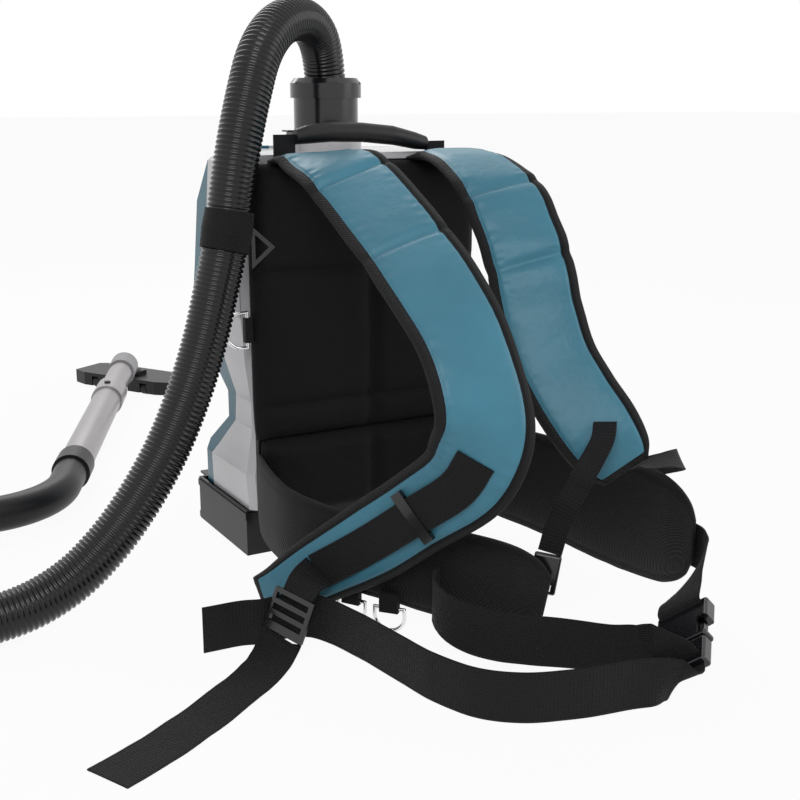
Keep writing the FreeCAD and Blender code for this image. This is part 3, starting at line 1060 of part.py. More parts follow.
hand_bore = sizes.hose_bore / 2
sleeve = Part.makeCylinder(sizes.tube_radius + 3.2, 42, Vector(-12, 0, 0), Vector(1, 0, 0))
sleeve_bore = Part.makeCylinder(sizes.tube_radius + sizes.fit_gap, 40, Vector(-0.3, 0, 0), Vector(1, 0, 0))
cuff_start = bend_end + leaving * (sizes.hand_straight - 22)
hand_cuff = Part.makeCylinder(crest + 3, 40, cuff_start, leaving)
hand_seat = Part.makeCylinder(crest + 0.8, 30, hand_end, leaving)
hand_shape = along_hand(sizes.hand_radius).fuse(sleeve).fuse(hand_cuff).cut(along_hand(hand_bore)).cut(sleeve_bore).cut(hand_seat)
through = Part.makeCylinder(hand_bore, 60, cuff_start - leaving, leaving)
hand_shape = hand_shape.cut(through)
laid(solid("hand_solid", hand_shape), "hand_piece")
gate_place = bend_end + leaving * 8
gate_outer = Part.makeCylinder(sizes.hand_radius + 3, 20, gate_place, leaving)
gate_inner = Part.makeCylinder(sizes.hand_radius + sizes.fit_gap, 24, gate_place - leaving * 2, leaving)
laid(solid("gate_solid", gate_outer.cut(gate_inner)), "suction_slider")

# Floor nozzle: a neck on the inner tube, a pivot, and a head with two wheels and a brush strip
tube_end = wand.multVec(Vector(sizes.inner_end, 0, 0))
tube_way = wand.Rotation.multVec(Vector(1, 0, 0))
flat_way = Vector(tube_way.x, tube_way.y, 0).normalize()
pivot = tube_end + flat_way * 82
pivot.z = sizes.pivot_height
head_yaw = sizes.wand_yaw - sizes.nozzle_turn
head = FreeCAD.Placement(Vector(pivot.x, pivot.y, 0), FreeCAD.Rotation(head_yaw, 0, 0))
neck_local = [Vector(sizes.inner_end - 26, 0, 0), Vector(sizes.inner_end + 30, 0, 0)]
neck_sleeve = Part.makeCylinder(sizes.inner_radius + 3.5, 56, neck_local[0], Vector(1, 0, 0))
neck_sleeve = neck_sleeve.cut(Part.makeCylinder(sizes.inner_radius + sizes.fit_gap, 26.3,
                                                neck_local[0] - Vector(0.1, 0, 0), Vector(1, 0, 0)))
neck_sleeve.Placement = wand
elbow_start = wand.multVec(neck_local[1])
elbow_way = (flat_way * 0.8 - Vector(0, 0, 0.6)).normalize()
pivot_way = (flat_way * 0.6 - Vector(0, 0, 0.8)).normalize()
elbow = Part.makeLoft([ring_at(elbow_start, tube_way, Vector(0, 0, 1), 20),
                       ring_at(elbow_start + flat_way * 26 + Vector(0, 0, -6), elbow_way, Vector(0, 0, 1),
                               15),
                       ring_at(pivot - flat_way * 2 + Vector(0, 0, 6), pivot_way, Vector(0, 0, 1), 10)],
                       True, True)
head_across = head.Rotation.multVec(Vector(0, 1, 0))
barrel = Part.makeCylinder(sizes.pivot_radius, 40, pivot - head_across * 20, head_across)
pin_bore = Part.makeCylinder(3 + sizes.running_gap, 42, pivot - head_across * 21, head_across)
neck_shape = neck_sleeve.fuse(elbow).fuse(barrel).cut(pin_bore)
keep(solid("neck_solid", neck_shape), "nozzle_neck")


def headed(item, label):
    item.Placement = head.multiply(item.Placement)
    return keep(item, label)


long_half = "nozzle_half_length"
head_plan = [("-nozzle_depth / 2 + 12", f"-{long_half}"), ("nozzle_depth / 2 + 14", f"-{long_half}"),
             ("nozzle_depth / 2 + 22", f"-{long_half} + 14"),
             ("nozzle_depth / 2 + 22", f"{long_half} - 14"), ("nozzle_depth / 2 + 14", long_half),
             ("-nozzle_depth / 2 + 12", long_half),
             ("-nozzle_depth / 2 + 2", f"{long_half} - 30"), ("-nozzle_depth / 2 + 2", f"-{long_half} + 30")]
head_body = padded("head_body", "XY_Plane", head_plan, "nozzle_height", "3")
pivot_room = block("pivot_room", ("-pivot_radius - 20", "-20.4", "2"),
                   ("pivot_radius + 3", "20.4", "nozzle_height + 20"))
cheeks = [block(f"cheek_{k}", ("-7", low, "3"), ("pivot_radius + 4", high, "pivot_height + 7"))
          for k, (low, high) in enumerate((("-28", "-20.4"), ("20.4", "28")))]
wheel_rooms = [block(f"wheel_room_{k}", ("-nozzle_depth / 2 - 6", low, "0"),
                     ("-nozzle_depth / 2 + 3 + 2 * wheel_radius", high, "3 + 2 * wheel_radius"))
               for k, (low, high) in enumerate((("-66", "-50"), ("50", "66")))]
axle_rooms = [rod("axle_room", "Y", "2 + fit_gap", ("-nozzle_depth / 2 + 11", "wheel_radius + 0.2"), "-72",
                  "72")]
brush = block("brush", ("nozzle_depth / 2 + 10", f"-{long_half} + 16", "0"),
              ("nozzle_depth / 2 + 16", f"{long_half} - 16", "3"))
pivot_pin = rod("pivot_pin", "Y", "3", ("0", "pivot_height"), "-27", "27")
head_full = fuse("head_full", cut("head_hollow", head_body, pivot_room), *cheeks, brush, pivot_pin)
headed(cut("head_all", head_full, *wheel_rooms, *axle_rooms), "nozzle_head")
wheels = [rod(f"wheel_{k}", "Y", "wheel_radius", ("-nozzle_depth / 2 + 11", "wheel_radius + 0.2"), low, high)
          for k, (low, high) in enumerate((("-64", "-52"), ("52", "64")))]
headed(fuse("wheel_set", *wheels, rod("axle", "Y", "2", ("-nozzle_depth / 2 + 11", "wheel_radius + 0.2"),
                                      "-70", "70")), "nozzle_wheels")

doc.recompute()
broken = [item.Name for item in doc.Objects if "Invalid" in item.State or "Error" in item.State]
broken += [item.Label for item in nodes if item.Shape.isNull() or not item.Shape.isValid() or not item.Shape.Solids]
if broken:
    raise SystemExit("not built: " + ", ".join(broken))
os.makedirs("parts", exist_ok=True)
for item in nodes:
    item.Shape.exportStep(f"parts/{item.Label}.step")
print(len(nodes), "nodes")
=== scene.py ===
import math
import bmesh
import bpy
import numpy as np
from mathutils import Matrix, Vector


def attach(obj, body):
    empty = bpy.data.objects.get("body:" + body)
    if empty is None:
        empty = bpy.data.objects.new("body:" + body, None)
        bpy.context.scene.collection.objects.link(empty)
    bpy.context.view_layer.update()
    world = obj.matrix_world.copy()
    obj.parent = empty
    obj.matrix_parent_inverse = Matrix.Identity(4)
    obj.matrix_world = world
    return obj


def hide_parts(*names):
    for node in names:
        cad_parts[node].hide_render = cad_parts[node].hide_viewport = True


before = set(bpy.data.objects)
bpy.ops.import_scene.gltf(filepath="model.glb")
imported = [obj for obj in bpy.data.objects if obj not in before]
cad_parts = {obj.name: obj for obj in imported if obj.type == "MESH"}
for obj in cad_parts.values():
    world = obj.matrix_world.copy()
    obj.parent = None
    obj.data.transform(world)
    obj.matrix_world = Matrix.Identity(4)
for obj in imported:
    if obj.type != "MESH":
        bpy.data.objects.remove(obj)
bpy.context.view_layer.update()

# Camera, floor and light. The camera stands to the left of the harness side, as in the photograph.
camera = bpy.data.objects.new("camera", bpy.data.cameras.new("camera"))
camera.location = (-0.6609, -1.3491, 0.531)
camera.rotation_euler = (math.radians(75.9), 0, math.radians(-29.5))
camera.data.sensor_width = 36
camera.data.lens = 54.585
bpy.context.scene.collection.objects.link(camera)
bpy.context.scene.camera = camera
bpy.context.scene.view_settings.view_transform = "Standard"


def lamp(name, place, aim, size, power):
    """A square soft box at a place, turned towards a point."""
    light = bpy.data.lights.new(name, "AREA")
    light.size, light.energy = size, power
    thing = bpy.data.objects.new(name, light)
    thing.location = place
    way = Vector(aim) - Vector(place)
    thing.rotation_euler = way.to_track_quat("-Z", "Y").to_euler()
    bpy.context.scene.collection.objects.link(thing)


lamp("key", (-1.5, -2.1, 2.1), (0, 0, 0.25), 1.4, 30)
lamp("fill", (1.9, -1.6, 1.2), (0, -0.1, 0.25), 1.3, 12)
lamp("back", (0.3, 1.9, 2.0), (0, 0.1, 0.3), 1.5, 22)


def seen_directly(tree, links):
    """One for rays that come from the camera, a mirror or glass, so that only these see the white."""
    path = tree.nodes.new("ShaderNodeLightPath")
    most = tree.nodes.new("ShaderNodeMath")
    most.operation = "MAXIMUM"
    links.new(path.outputs["Is Camera Ray"], most.inputs[0])
    links.new(path.outputs["Is Glossy Ray"], most.inputs[1])
    last = tree.nodes.new("ShaderNodeMath")
    last.operation = "MAXIMUM"
    links.new(most.outputs[0], last.inputs[0])
    links.new(path.outputs["Is Transmission Ray"], last.inputs[1])
    return last


world = bpy.data.worlds.new("studio")
bpy.context.scene.world = world
world.use_nodes = True
sky = world.node_tree
dim, white = sky.nodes["Background"], sky.nodes.new("ShaderNodeBackground")
dim.inputs["Color"].default_value = (0.95, 0.97, 1, 1)
dim.inputs["Strength"].default_value = 0.3
white.inputs["Color"].default_value = (1, 1, 1, 1)
sky_mix = sky.nodes.new("ShaderNodeMixShader")
sky.links.new(seen_directly(sky, sky.links).outputs[0], sky_mix.inputs[0])
sky.links.new(dim.outputs[0], sky_mix.inputs[1])
sky.links.new(white.outputs[0], sky_mix.inputs[2])
sky.links.new(sky_mix.outputs[0], sky.nodes["World Output"].inputs["Surface"])


def finish(name, colour, rough, metal=0.0, coat=0.0, sheen=0.0, specular=0.5):
    """A material with its plain numbers set on the shader's own sockets."""
    material = bpy.data.materials.new(name)
    material.use_nodes = True
    shader = material.node_tree.nodes["Principled BSDF"]
    shader.inputs["Base Color"].default_value = (*colour, 1)
    shader.inputs["Roughness"].default_value = rough
    shader.inputs["Metallic"].default_value = metal
    shader.inputs["Coat Weight"].default_value = coat
    shader.inputs["Sheen Weight"].default_value = sheen
    shader.inputs["Specular IOR Level"].default_value = specular
    return material


def varied(material, scale, spread, bump, depth=0.0002, detail=4.0):
    """Cloudy noise on object coordinates that shifts the colour a little and raises a fine grain."""
    tree = material.node_tree
    shader = tree.nodes["Principled BSDF"]
    place = tree.nodes.new("ShaderNodeTexCoord")
    noise = tree.nodes.new("ShaderNodeTexNoise")
    noise.inputs["Scale"].default_value = scale
    noise.inputs["Detail"].default_value = detail
    tree.links.new(place.outputs["Object"], noise.inputs["Vector"])
    if spread:
        wide = tree.nodes.new("ShaderNodeTexNoise")
        wide.inputs["Scale"].default_value = 14
        wide.inputs["Detail"].default_value = 5
        tree.links.new(place.outputs["Object"], wide.inputs["Vector"])
        ramp = tree.nodes.new("ShaderNodeValToRGB")
        base = list(shader.inputs["Base Color"].default_value)[:3]
        ramp.color_ramp.elements[0].position, ramp.color_ramp.elements[1].position = 0.3, 0.7
        ramp.color_ramp.elements[0].color = (*[c * (1 - spread) for c in base], 1)
        ramp.color_ramp.elements[1].color = (*[min(1, c * (1 + spread)) for c in base], 1)
        tree.links.new(wide.outputs["Fac"], ramp.inputs["Fac"])
        tree.links.new(ramp.outputs["Color"], shader.inputs["Base Color"])
    rise = tree.nodes.new("ShaderNodeBump")
    rise.inputs["Strength"].default_value = bump
    rise.inputs["Distance"].default_value = depth
    tree.links.new(noise.outputs["Fac"], rise.inputs["Height"])
    tree.links.new(rise.outputs["Normal"], shader.inputs["Normal"])
    return material


floor_reach = 30
floor_glow = 0.94
floor_mesh = bpy.data.meshes.new("floor")
floor_mesh.from_pydata([(-floor_reach, -floor_reach, 0), (floor_reach, -floor_reach, 0),
                        (floor_reach, floor_reach, 0), (-floor_reach, floor_reach, 0)], [], [(0, 1, 2, 3)])
floor = bpy.data.objects.new("floor", floor_mesh)
bpy.context.scene.collection.objects.link(floor)
floor_finish = finish("floor_white", (0.9, 0.9, 0.9), 0.9, specular=0.1)
ground = floor_finish.node_tree
glow, floor_mix = ground.nodes.new("ShaderNodeEmission"), ground.nodes.new("ShaderNodeMixShader")
share = ground.nodes.new("ShaderNodeMath")
share.operation = "MULTIPLY"
share.inputs[1].default_value = floor_glow
ground.links.new(seen_directly(ground, ground.links).outputs[0], share.inputs[0])
ground.links.new(share.outputs[0], floor_mix.inputs[0])
ground.links.new(ground.nodes["Principled BSDF"].outputs[0], floor_mix.inputs[1])
ground.links.new(glow.outputs[0], floor_mix.inputs[2])
ground.links.new(floor_mix.outputs[0], ground.nodes["Material Output"].inputs["Surface"])
floor_mesh.materials.append(floor_finish)

# Moulded casing. The front shell is a glossy pale grey moulding, and the rear door a glossy teal one; both are
# injection moulded, with a faint orange-peel skin.
shell_white = varied(finish("shell_white", (0.71, 0.7, 0.715), 0.24, coat=0.25), 420, 0.02, 0.06)
door_teal = varied(finish("door_teal", (0.006, 0.135, 0.2), 0.25, coat=0.08, specular=0.35), 420, 0.05, 0.06)


def dressed(names, material):
    """Give CAD nodes a material."""
    for name in names.split():
        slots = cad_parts[name].data.materials
        slots.clear()
        slots.append(material)


dressed("front_shell inlet_socket", shell_white)
dressed("rear_door", door_teal)

# Black mouldings: battery tub and cover, cuff, latches, buckles, hooks and the floor nozzle are satin black nylon
# with a fine spark-eroded grain.
satin_black = varied(finish("satin_black", (0.008, 0.008, 0.0095), 0.4, specular=0.3), 900, 0.25, 0.25, 0.00025)
gloss_black = varied(finish("gloss_black", (0.009, 0.009, 0.011), 0.2, coat=0.2), 500, 0.2, 0.08)
dressed("battery_tub battery_cover terminal_block left_battery right_battery motor_deck motor_housing motor_can "
        "switch_frame bag_collar filter_frame harness_plate nozzle_head suction_slider hand_piece tube_lock_button "
        "door_latch cover_latch", satin_black)
dressed("hose_cuff cuff_release_tab hose_hook left_strap_buckles sternum_buckle belt_buckle_socket "
        "belt_buckle_prongs", gloss_black)

# Metal and small inner parts: the rings are chromed wire, pins and screws plain steel, the wand is anodised tube,
# and the dust bag is non-woven paper cloth.
chrome = varied(finish("chrome", (0.78, 0.78, 0.79), 0.12, metal=1), 700, 0.03, 0.04)
steel = varied(finish("steel", (0.5, 0.5, 0.51), 0.32, metal=1), 900, 0.08, 0.15)
anodised = varied(finish("anodised_tube", (0.36, 0.34, 0.35), 0.34, metal=0.65), 800, 0.05, 0.1)
pale_plastic = varied(finish("pale_plastic", (0.3, 0.29, 0.3), 0.4), 700, 0.05, 0.15)
rubber = varied(finish("rubber", (0.02, 0.02, 0.02), 0.75), 900, 0.2, 0.4)
bag_cloth = varied(finish("bag_cloth", (0.78, 0.76, 0.72), 0.9, sheen=0.2), 1400, 0.06, 0.7, 0.0004)
bare_label = varied(finish("bare_label", (0.55, 0.55, 0.56), 0.5), 900, 0.03, 0.1)
board_green = varied(finish("board_green", (0.02, 0.16, 0.06), 0.4), 900, 0.15, 0.2)
dressed("side_ring front_ring rear_ring", chrome)
dressed("hinge_pins plate_screws motor_bearings motor_rotor", steel)
dressed("wand_outer_tube wand_inner_tube", anodised)
dressed("nozzle_neck power_switch", pale_plastic)
dressed("motor_mount_rings nozzle_wheels", rubber)
dressed("dust_bag motor_filter", bag_cloth)
dressed("rating_plate", bare_label)
dressed("control_board", board_green)

# Suction hose: a glossy black wound hose, 49 mm outside, with a rib every 5.4 mm. It is pushed into the cuff on the
# casing and its other end into the hand piece of the wand.
hose_points = np.array([
    (0, 0, 518), (0, 0, 579), (-33, -27, 616), (-85, -67, 613), (-126, -98, 580), (-146, -110, 530),
    (-160, -117, 486), (-171, -121, 440), (-178, -123, 400), (-186, -125, 364), (-197, -128, 328),
    (-214, -136, 276), (-238, -146, 222), (-268, -156, 168), (-303, -163, 120), (-339, -168, 80),
    (-384, -175, 46), (-444, -183, 27), (-530, -183, 25.5), (-603, -143, 25), (-645, -70, 25.3),
    (-645, 14, 25), (-603, 87, 25.6), (-531.9, 129.5, 27.7), (-456.3, 129.5, 28.7)]) / 1000


def spline_line(name, points):
    """The points that Blender gives for an open quadratic NURBS spline with these control points."""
    curve = bpy.data.curves.new(name, "CURVE")
    curve.dimensions = "3D"
    curve.resolution_u = 24
    spline = curve.splines.new("NURBS")
    spline.points.add(len(points) - 1)
    spline.points.foreach_set("co", np.hstack([points, np.ones((len(points), 1))]).ravel())
    spline.order_u = 3
    spline.use_endpoint_u = True
    thing = bpy.data.objects.new(name, curve)
    bpy.context.scene.collection.objects.link(thing)
    bpy.context.view_layer.update()
    mesh = bpy.data.meshes.new_from_object(thing.evaluated_get(bpy.context.evaluated_depsgraph_get()))
    line = np.array([v.co for v in mesh.vertices])
    bpy.data.objects.remove(thing)
    bpy.data.meshes.remove(mesh)
    return line


def evenly(line, step):
    """Places every step along a line, and the distance of each from its start."""
    run = np.concatenate([[0], np.cumsum(np.linalg.norm(np.diff(line, axis=0), axis=1))])
    count = max(2, int(round(run[-1] / step)) + 1)
    at = np.linspace(0, run[-1], count)
    return np.stack([np.interp(at, run, line[:, k]) for k in range(3)], 1), at


def carried_axes(line):
    """Two directions square to a line, carried along it. The first is its last value
    less its part along the line, the second the cross product of the line's way and the first."""
    ahead = np.gradient(line, axis=0)
    ahead /= np.linalg.norm(ahead, axis=1)[:, None]
    side = np.zeros_like(line)
    side[0] = np.cross(ahead[0], (0, 1, 0.3))
    side[0] /= np.linalg.norm(side[0])
    for k in range(1, len(line)):
        step = side[k - 1] - ahead[k] * side[k - 1].dot(ahead[k])
        side[k] = step / np.linalg.norm(step)
    return ahead, side, np.cross(ahead, side)


def grid_piece(name, grid, body, capped=True, uv=None, smooth=True):
    """A piece from a grid of points, rows along it and columns around it, with its ends closed by a fan."""
    rows, cols = grid.shape[:2]
    mesh = bpy.data.meshes.new(name)
    r, c = np.meshgrid(np.arange(rows - 1), np.arange(cols), indexing="ij")
    d = (c + 1) % cols
    faces = np.stack([r * cols + c, r * cols + d, (r + 1) * cols + d, (r + 1) * cols + c], -1).reshape(-1, 4).tolist()
    verts = grid.reshape(-1, 3).tolist()
    if capped:
        for row, flip in ((0, False), (rows - 1, True)):
            middle = len(verts)
            verts.append(grid[row].mean(0).tolist())
            ring = [row * cols + k for k in range(cols)]
            fan = [(ring[k], middle, ring[(k + 1) % cols]) for k in range(cols)]
            faces += [face[::-1] if flip else face for face in fan]
    mesh.from_pydata(verts, [], faces)
    if uv is not None:
        layer = mesh.uv_layers.new(name="surface")
        corner = np.zeros(len(mesh.loops), int)
        mesh.loops.foreach_get("vertex_index", corner)
        flat = np.vstack([uv.reshape(-1, 2), np.zeros((len(verts) - rows * cols, 2))])
        layer.data.foreach_set("uv", flat[corner].ravel())
    mesh.polygons.foreach_set("use_smooth", [smooth] * len(mesh.polygons))
    thing = bpy.data.objects.new(name, mesh)
    bpy.context.scene.collection.objects.link(thing)
    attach(thing, body)
    return thing


def outward(thing):
    """Turn a closed piece's faces so that they all point out."""
    work = bmesh.new()
    work.from_mesh(thing.data)
    bmesh.ops.recalc_face_normals(work, faces=work.faces)
    work.to_mesh(thing.data)
    work.free()
    return thing


hose_step = 0.00135
rib_pitch = 0.0054
rib_radius = 0.0245
rib_depth = 0.0024
cuffed_radius = 0.0244
cuffed_length = 0.034
hose_line = spline_line("hose_line", hose_points)
hose_centre, hose_run = evenly(hose_line, hose_step)
_, hose_side, hose_up = carried_axes(hose_centre)
around = np.linspace(0, 2 * math.pi, 40, endpoint=False)
rib = np.abs(np.mod(hose_run / rib_pitch, 1) - 0.5) * 2
radius = rib_radius - rib_depth * np.clip((rib - 0.45) / 0.4, 0, 1)
radius[hose_run < cuffed_length] = cuffed_radius
hose_grid = (hose_centre[:, None] + radius[:, None, None] * (np.cos(around)[None, :, None] * hose_side[:, None]
             + np.sin(around)[None, :, None] * hose_up[:, None]))
hose = outward(grid_piece("ribbed_hose", hose_grid, "backpack"))
hose.data.materials.append(varied(finish("hose_plastic", (0.006, 0.006, 0.007), 0.2, specular=0.35), 600, 0.3, 0.12))
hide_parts("hose")

# Hose band: a black velcro strap, about 43 mm wide, wrapped once round the hose. On the real piece it ends in a tab
# at the triangle hook; that tab is left out here.


def woven(material, thread, bump, depth, slant=0.0):
    """Threads on the piece's own UV map: one family of ridges across the other, each a sine of the map's place. The
    colour follows the thread height, as painted shade in the valleys between threads and a painted highlight on their
    crowns.
    """
    tree = material.node_tree
    shader = tree.nodes["Principled BSDF"]
    place = tree.nodes.new("ShaderNodeTexCoord")
    turn = tree.nodes.new("ShaderNodeMapping")
    turn.inputs["Rotation"].default_value = (0, 0, slant)
    tree.links.new(place.outputs["UV"], turn.inputs["Vector"])
    heights = []
    for way, share in (("X", 1.0), ("Y", 0.6)):
        wave = tree.nodes.new("ShaderNodeTexWave")
        wave.wave_type, wave.bands_direction = "BANDS", way
        wave.inputs["Scale"].default_value = 0.314 / thread * share
        wave.inputs["Distortion"].default_value = 0.4
        wave.inputs["Detail Scale"].default_value = 3
        tree.links.new(turn.outputs["Vector"], wave.inputs["Vector"])
        heights.append(wave)
    add = tree.nodes.new("ShaderNodeMath")
    add.operation = "MULTIPLY_ADD"
    add.inputs[1].default_value = 0.5
    tree.links.new(heights[1].outputs["Fac"], add.inputs[0])
    tree.links.new(heights[0].outputs["Fac"], add.inputs[2])
    rise = tree.nodes.new("ShaderNodeBump")
    rise.inputs["Strength"].default_value = bump
    rise.inputs["Distance"].default_value = depth
    tree.links.new(add.outputs[0], rise.inputs["Height"])
    tree.links.new(rise.outputs["Normal"], shader.inputs["Normal"])
    # Painted shade and highlight: the base colour is darkened to 0.55 in the thread valleys and lightened to 1.35 on
    # the thread crowns, following the height.
    base = list(shader.inputs["Base Color"].default_value)[:3]
    ramp = tree.nodes.new("ShaderNodeValToRGB")
    ramp.color_ramp.elements[0].color = (*[c * 0.55 for c in base], 1)
    ramp.color_ramp.elements[1].color = (*[c * 1.35 for c in base], 1)
    ramp.color_ramp.elements[1].position = 1
    half = tree.nodes.new("ShaderNodeMath")
    half.operation = "MULTIPLY"
    half.inputs[1].default_value = 0.66
    tree.links.new(add.outputs[0], half.inputs[0])
    tree.links.new(half.outputs[0], ramp.inputs["Fac"])
    tree.links.new(ramp.outputs["Color"], shader.inputs["Base Color"])
    return material


webbing_cloth = woven(finish("webbing_cloth", (0.008, 0.008, 0.009), 0.7, sheen=0.04, specular=0.2), 0.0021, 0.9,
                      0.0006, 0.0)
strap_binding = woven(finish("strap_binding", (0.008, 0.008, 0.009), 0.65, sheen=0.04, specular=0.22), 0.0024, 1.0,
                      0.0005, 0.7)
band_top = 0.412
band_radius, band_crown, band_bore = 0.0276, 0.0012, 0.0249
band_span, band_skip = 34, 2
near = [k for k in range(len(hose_centre)) if hose_centre[k][2] < band_top and hose_run[k] > 0.15][0]
band_rows = range(near, near + band_span, band_skip)


def hose_ring(k, size):
    """A circle about the hose at station k: its centre plus a radius times cosine sideways and sine upwards."""
    return hose_centre[k] + size * (np.cos(around)[:, None] * hose_side[k] + np.sin(around)[:, None] * hose_up[k])


band_rings = [hose_ring(k, band_radius - band_crown * abs((k - near) / (band_span - band_skip) - 0.5) * 2)
              for k in band_rows]
band_inside = [hose_ring(k, band_bore) for k in reversed(band_rows)]
band_grid = np.array(band_rings + band_inside + band_rings[:1])
band_uv = np.stack(np.meshgrid(np.arange(len(band_grid)) * 0.0027, around * 0.028, indexing="ij"), -1)
band = outward(grid_piece("hose_velcro_band", band_grid, "backpack", capped=False, uv=band_uv))
band.data.materials.append(webbing_cloth)
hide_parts("hose_band")

# Shoulder straps: foam cushions in puckered satin nylon, bound all round with black tape and sewn across in two
# places. They start at the top of the harness plate; the left one reaches the belt, the right one its webbing.
left_route = [
    ((-75, -98.5, 460.4), (-1, 0, 0), 45), ((-75, -122, 462.6), (-1, 0, 0), 45),
    ((-76, -145, 461), (-0.98, 0, -0.17), 45),
    ((-77, -190, 456), (-0.94, 0, -0.34), 46), ((-77, -215, 446), (-0.92, 0, -0.39), 47),
    ((-77, -241, 435), (-0.9, 0, -0.43), 47), ((-77, -290, 410), (-0.9, 0, -0.43), 47),
    ((-77, -315, 397), (-0.9, 0, -0.43), 47), ((-77, -340, 383), (-0.9, 0, -0.43), 47),
    ((-77, -386, 354), (-0.9, 0, -0.42), 47), ((-76, -428, 320), (-0.93, 0.03, -0.34), 46),
    ((-76, -458, 280), (-0.96, 0.1, -0.2), 46), ((-77, -472, 245), (-0.88, 0.35, 0.04), 46),
    ((-80, -466, 214), (-0.7, 0.62, 0.12), 46), ((-86, -446, 182), (-0.58, 0.76, 0.22), 44),
    ((-105, -404, 146), (-0.52, 0.75, 0.42), 41), ((-131, -352, 102), (-0.46, 0.67, 0.58), 41),
    ((-159, -303, 64), (-0.44, 0.63, 0.64), 36), ((-183, -265, 34), (-0.45, 0.66, 0.6), 29),
    ((-202, -236, 20), (-0.42, 0.62, 0.66), 18)]
right_route = [
    ((100, -98.5, 460.4), (-1, 0, 0), 45), ((100, -122, 463), (-1, 0, 0), 45), ((96, -145, 463), (-0.98, 0.15, 0), 45),
    ((88, -190, 458), (-0.94, 0.3, 0), 45), ((82, -235, 444), (-0.88, 0.45, 0), 45),
    ((80, -257, 432), (-0.86, 0.5, 0), 45),
    ((79, -275, 418), (-0.85, 0.53, 0), 45), ((78, -303, 384), (-0.84, 0.54, 0), 45),
    ((78, -313, 366), (-0.84, 0.54, 0), 45),
    ((78, -322, 350), (-0.84, 0.54, 0), 45), ((78, -337, 312), (-0.84, 0.54, 0), 45),
    ((80, -358, 272), (-0.84, 0.54, 0), 45),
    ((86, -388, 235), (-0.84, 0.54, -0.04), 45), ((97, -416, 202), (-0.84, 0.5, -0.16), 44),
    ((110, -432, 176), (-0.82, 0.45, -0.25), 38), ((119, -438, 161), (-0.8, 0.42, -0.3), 26)]


def along_route(route, per_step):
    """A smooth line of places, width directions and half widths through a route (Catmull-Rom), in metres."""
    table = np.array([(*place, *(np.array(across) / np.linalg.norm(across)), half) for place, across, half in route],
                     float)
    table[:, [0, 1, 2, 6]] /= 1000
    padded = np.vstack([2 * table[0] - table[1], table, 2 * table[-1] - table[-2]])
    t = np.linspace(0, len(table) - 1, (len(table) - 1) * per_step + 1)
    k = np.minimum(t.astype(int), len(table) - 2)
    u = (t - k)[:, None]
    a, b, c, d = padded[k], padded[k + 1], padded[k + 2], padded[k + 3]
    mid = 0.5 * (2 * b + (c - a) * u + (2 * a - 5 * b + 4 * c - d) * u ** 2 + (3 * b - a - 3 * c + d) * u ** 3)
    place, across, half = mid[:, :3], mid[:, 3:6], mid[:, 6]
    ahead = np.gradient(place, axis=0)
    ahead /= np.linalg.norm(ahead, axis=1)[:, None]
    across = across - ahead * np.sum(across * ahead, 1)[:, None]
    across /= np.linalg.norm(across, axis=1)[:, None]
    out = np.cross(across, ahead)
    run = np.concatenate([[0], np.cumsum(np.linalg.norm(np.diff(place, axis=0), axis=1))])
    return place, across, out, half, run, t


def cushion(name, route, crown, back, tucks, bound, face, tape, seed):
    """A cushion along a route. Its outer face is a crowned arch with a groove beside the bound edge, its inner face a
    flatter one; tucks pinch it across, and small puckers run out from each seam."""
    place, across, out, half, run, t = along_route(route, 14)
    rng = np.random.default_rng(seed)
    skin, end_round, tuck_width, bound_end = 0.0014, 0.035, 0.0055, 0.009
    pucker_rise, slow_rise, seam_depth = 0.0005, 0.0007, 0.0022
    turn = np.linspace(0, 2 * math.pi, 96, endpoint=False)
    s = np.cos(turn)
    top_side = np.sin(turn) > 0
    body_share = np.clip(1 - np.abs(s) ** 3.2, 0, 1) ** 0.55
    ends = np.clip(np.minimum(run, run[-1] - run) / end_round, 0, 1) ** 0.5
    pinch = np.ones_like(run)
    for tuck in tucks:
        at = np.interp(tuck, t, run)
        pinch *= 1 - 0.55 * np.exp(-((run - at) / tuck_width) ** 2)
    phase = np.interp(run, np.linspace(0, run[-1], 40), rng.uniform(-2.2, 2.2, 40))
    pucker = np.sin(run / 0.0105 * 2 * math.pi / 1.6 + phase * 2)
    slow = np.interp(run, np.linspace(0, run[-1], 24), rng.uniform(-1, 1, 24))
    seam = np.exp(-((np.abs(s) - bound) / 0.035) ** 2)
    ripple = np.exp(-((np.abs(s) - bound + 0.13) / 0.12) ** 2)
    height = np.where(top_side, crown, back)[None, :] * body_share[None, :] * (ends * pinch)[:, None]
    height += np.where(top_side, 1, 0)[None, :] * (pucker_rise * pucker[:, None] * ripple[None, :]
                                                   + slow_rise * slow[:, None] * body_share[None, :] * pinch[:, None])
    height -= seam_depth * (seam * np.where(top_side, 1, 0.4))[None, :] * ends[:, None]
    height = np.maximum(height, 0) + skin
    narrow = 1 - 0.03 * (1 - pinch)
    wobble = half * narrow + 0.0005 * slow
    grid = (place[:, None] + across[:, None] * (s[None, :, None] * wobble[:, None, None])
            + out[:, None] * (np.where(top_side, 1, -1)[None, :] * height)[:, :, None])
    rim = np.abs(np.sin(turn)) < 1e-9
    grid[:, rim] = (place[:, None] + across[:, None] * (s[None, rim, None] * (wobble[:, None, None] + 0.0006)))
    uv = np.stack(np.broadcast_arrays((np.sin(turn) + s)[None, :] * half[:, None], run[:, None]), -1)
    thing = outward(grid_piece(name, grid, "backpack", uv=uv))
    for material in (face, tape):
        thing.data.materials.append(material)
    count = len(turn)
    middle = 0.5 * (s + np.roll(s, -1))
    tape_column = (np.abs(middle) > bound) | ~(top_side & np.roll(top_side, -1))
    index = np.ones(len(thing.data.polygons), int)
    bound_row = np.minimum(run, run[-1] - run)[:-1] < bound_end
    index[:(len(run) - 1) * count] = (bound_row[:, None] | tape_column[None, :]).astype(int).ravel()
    thing.data.polygons.foreach_set("material_index", index)
    return thing


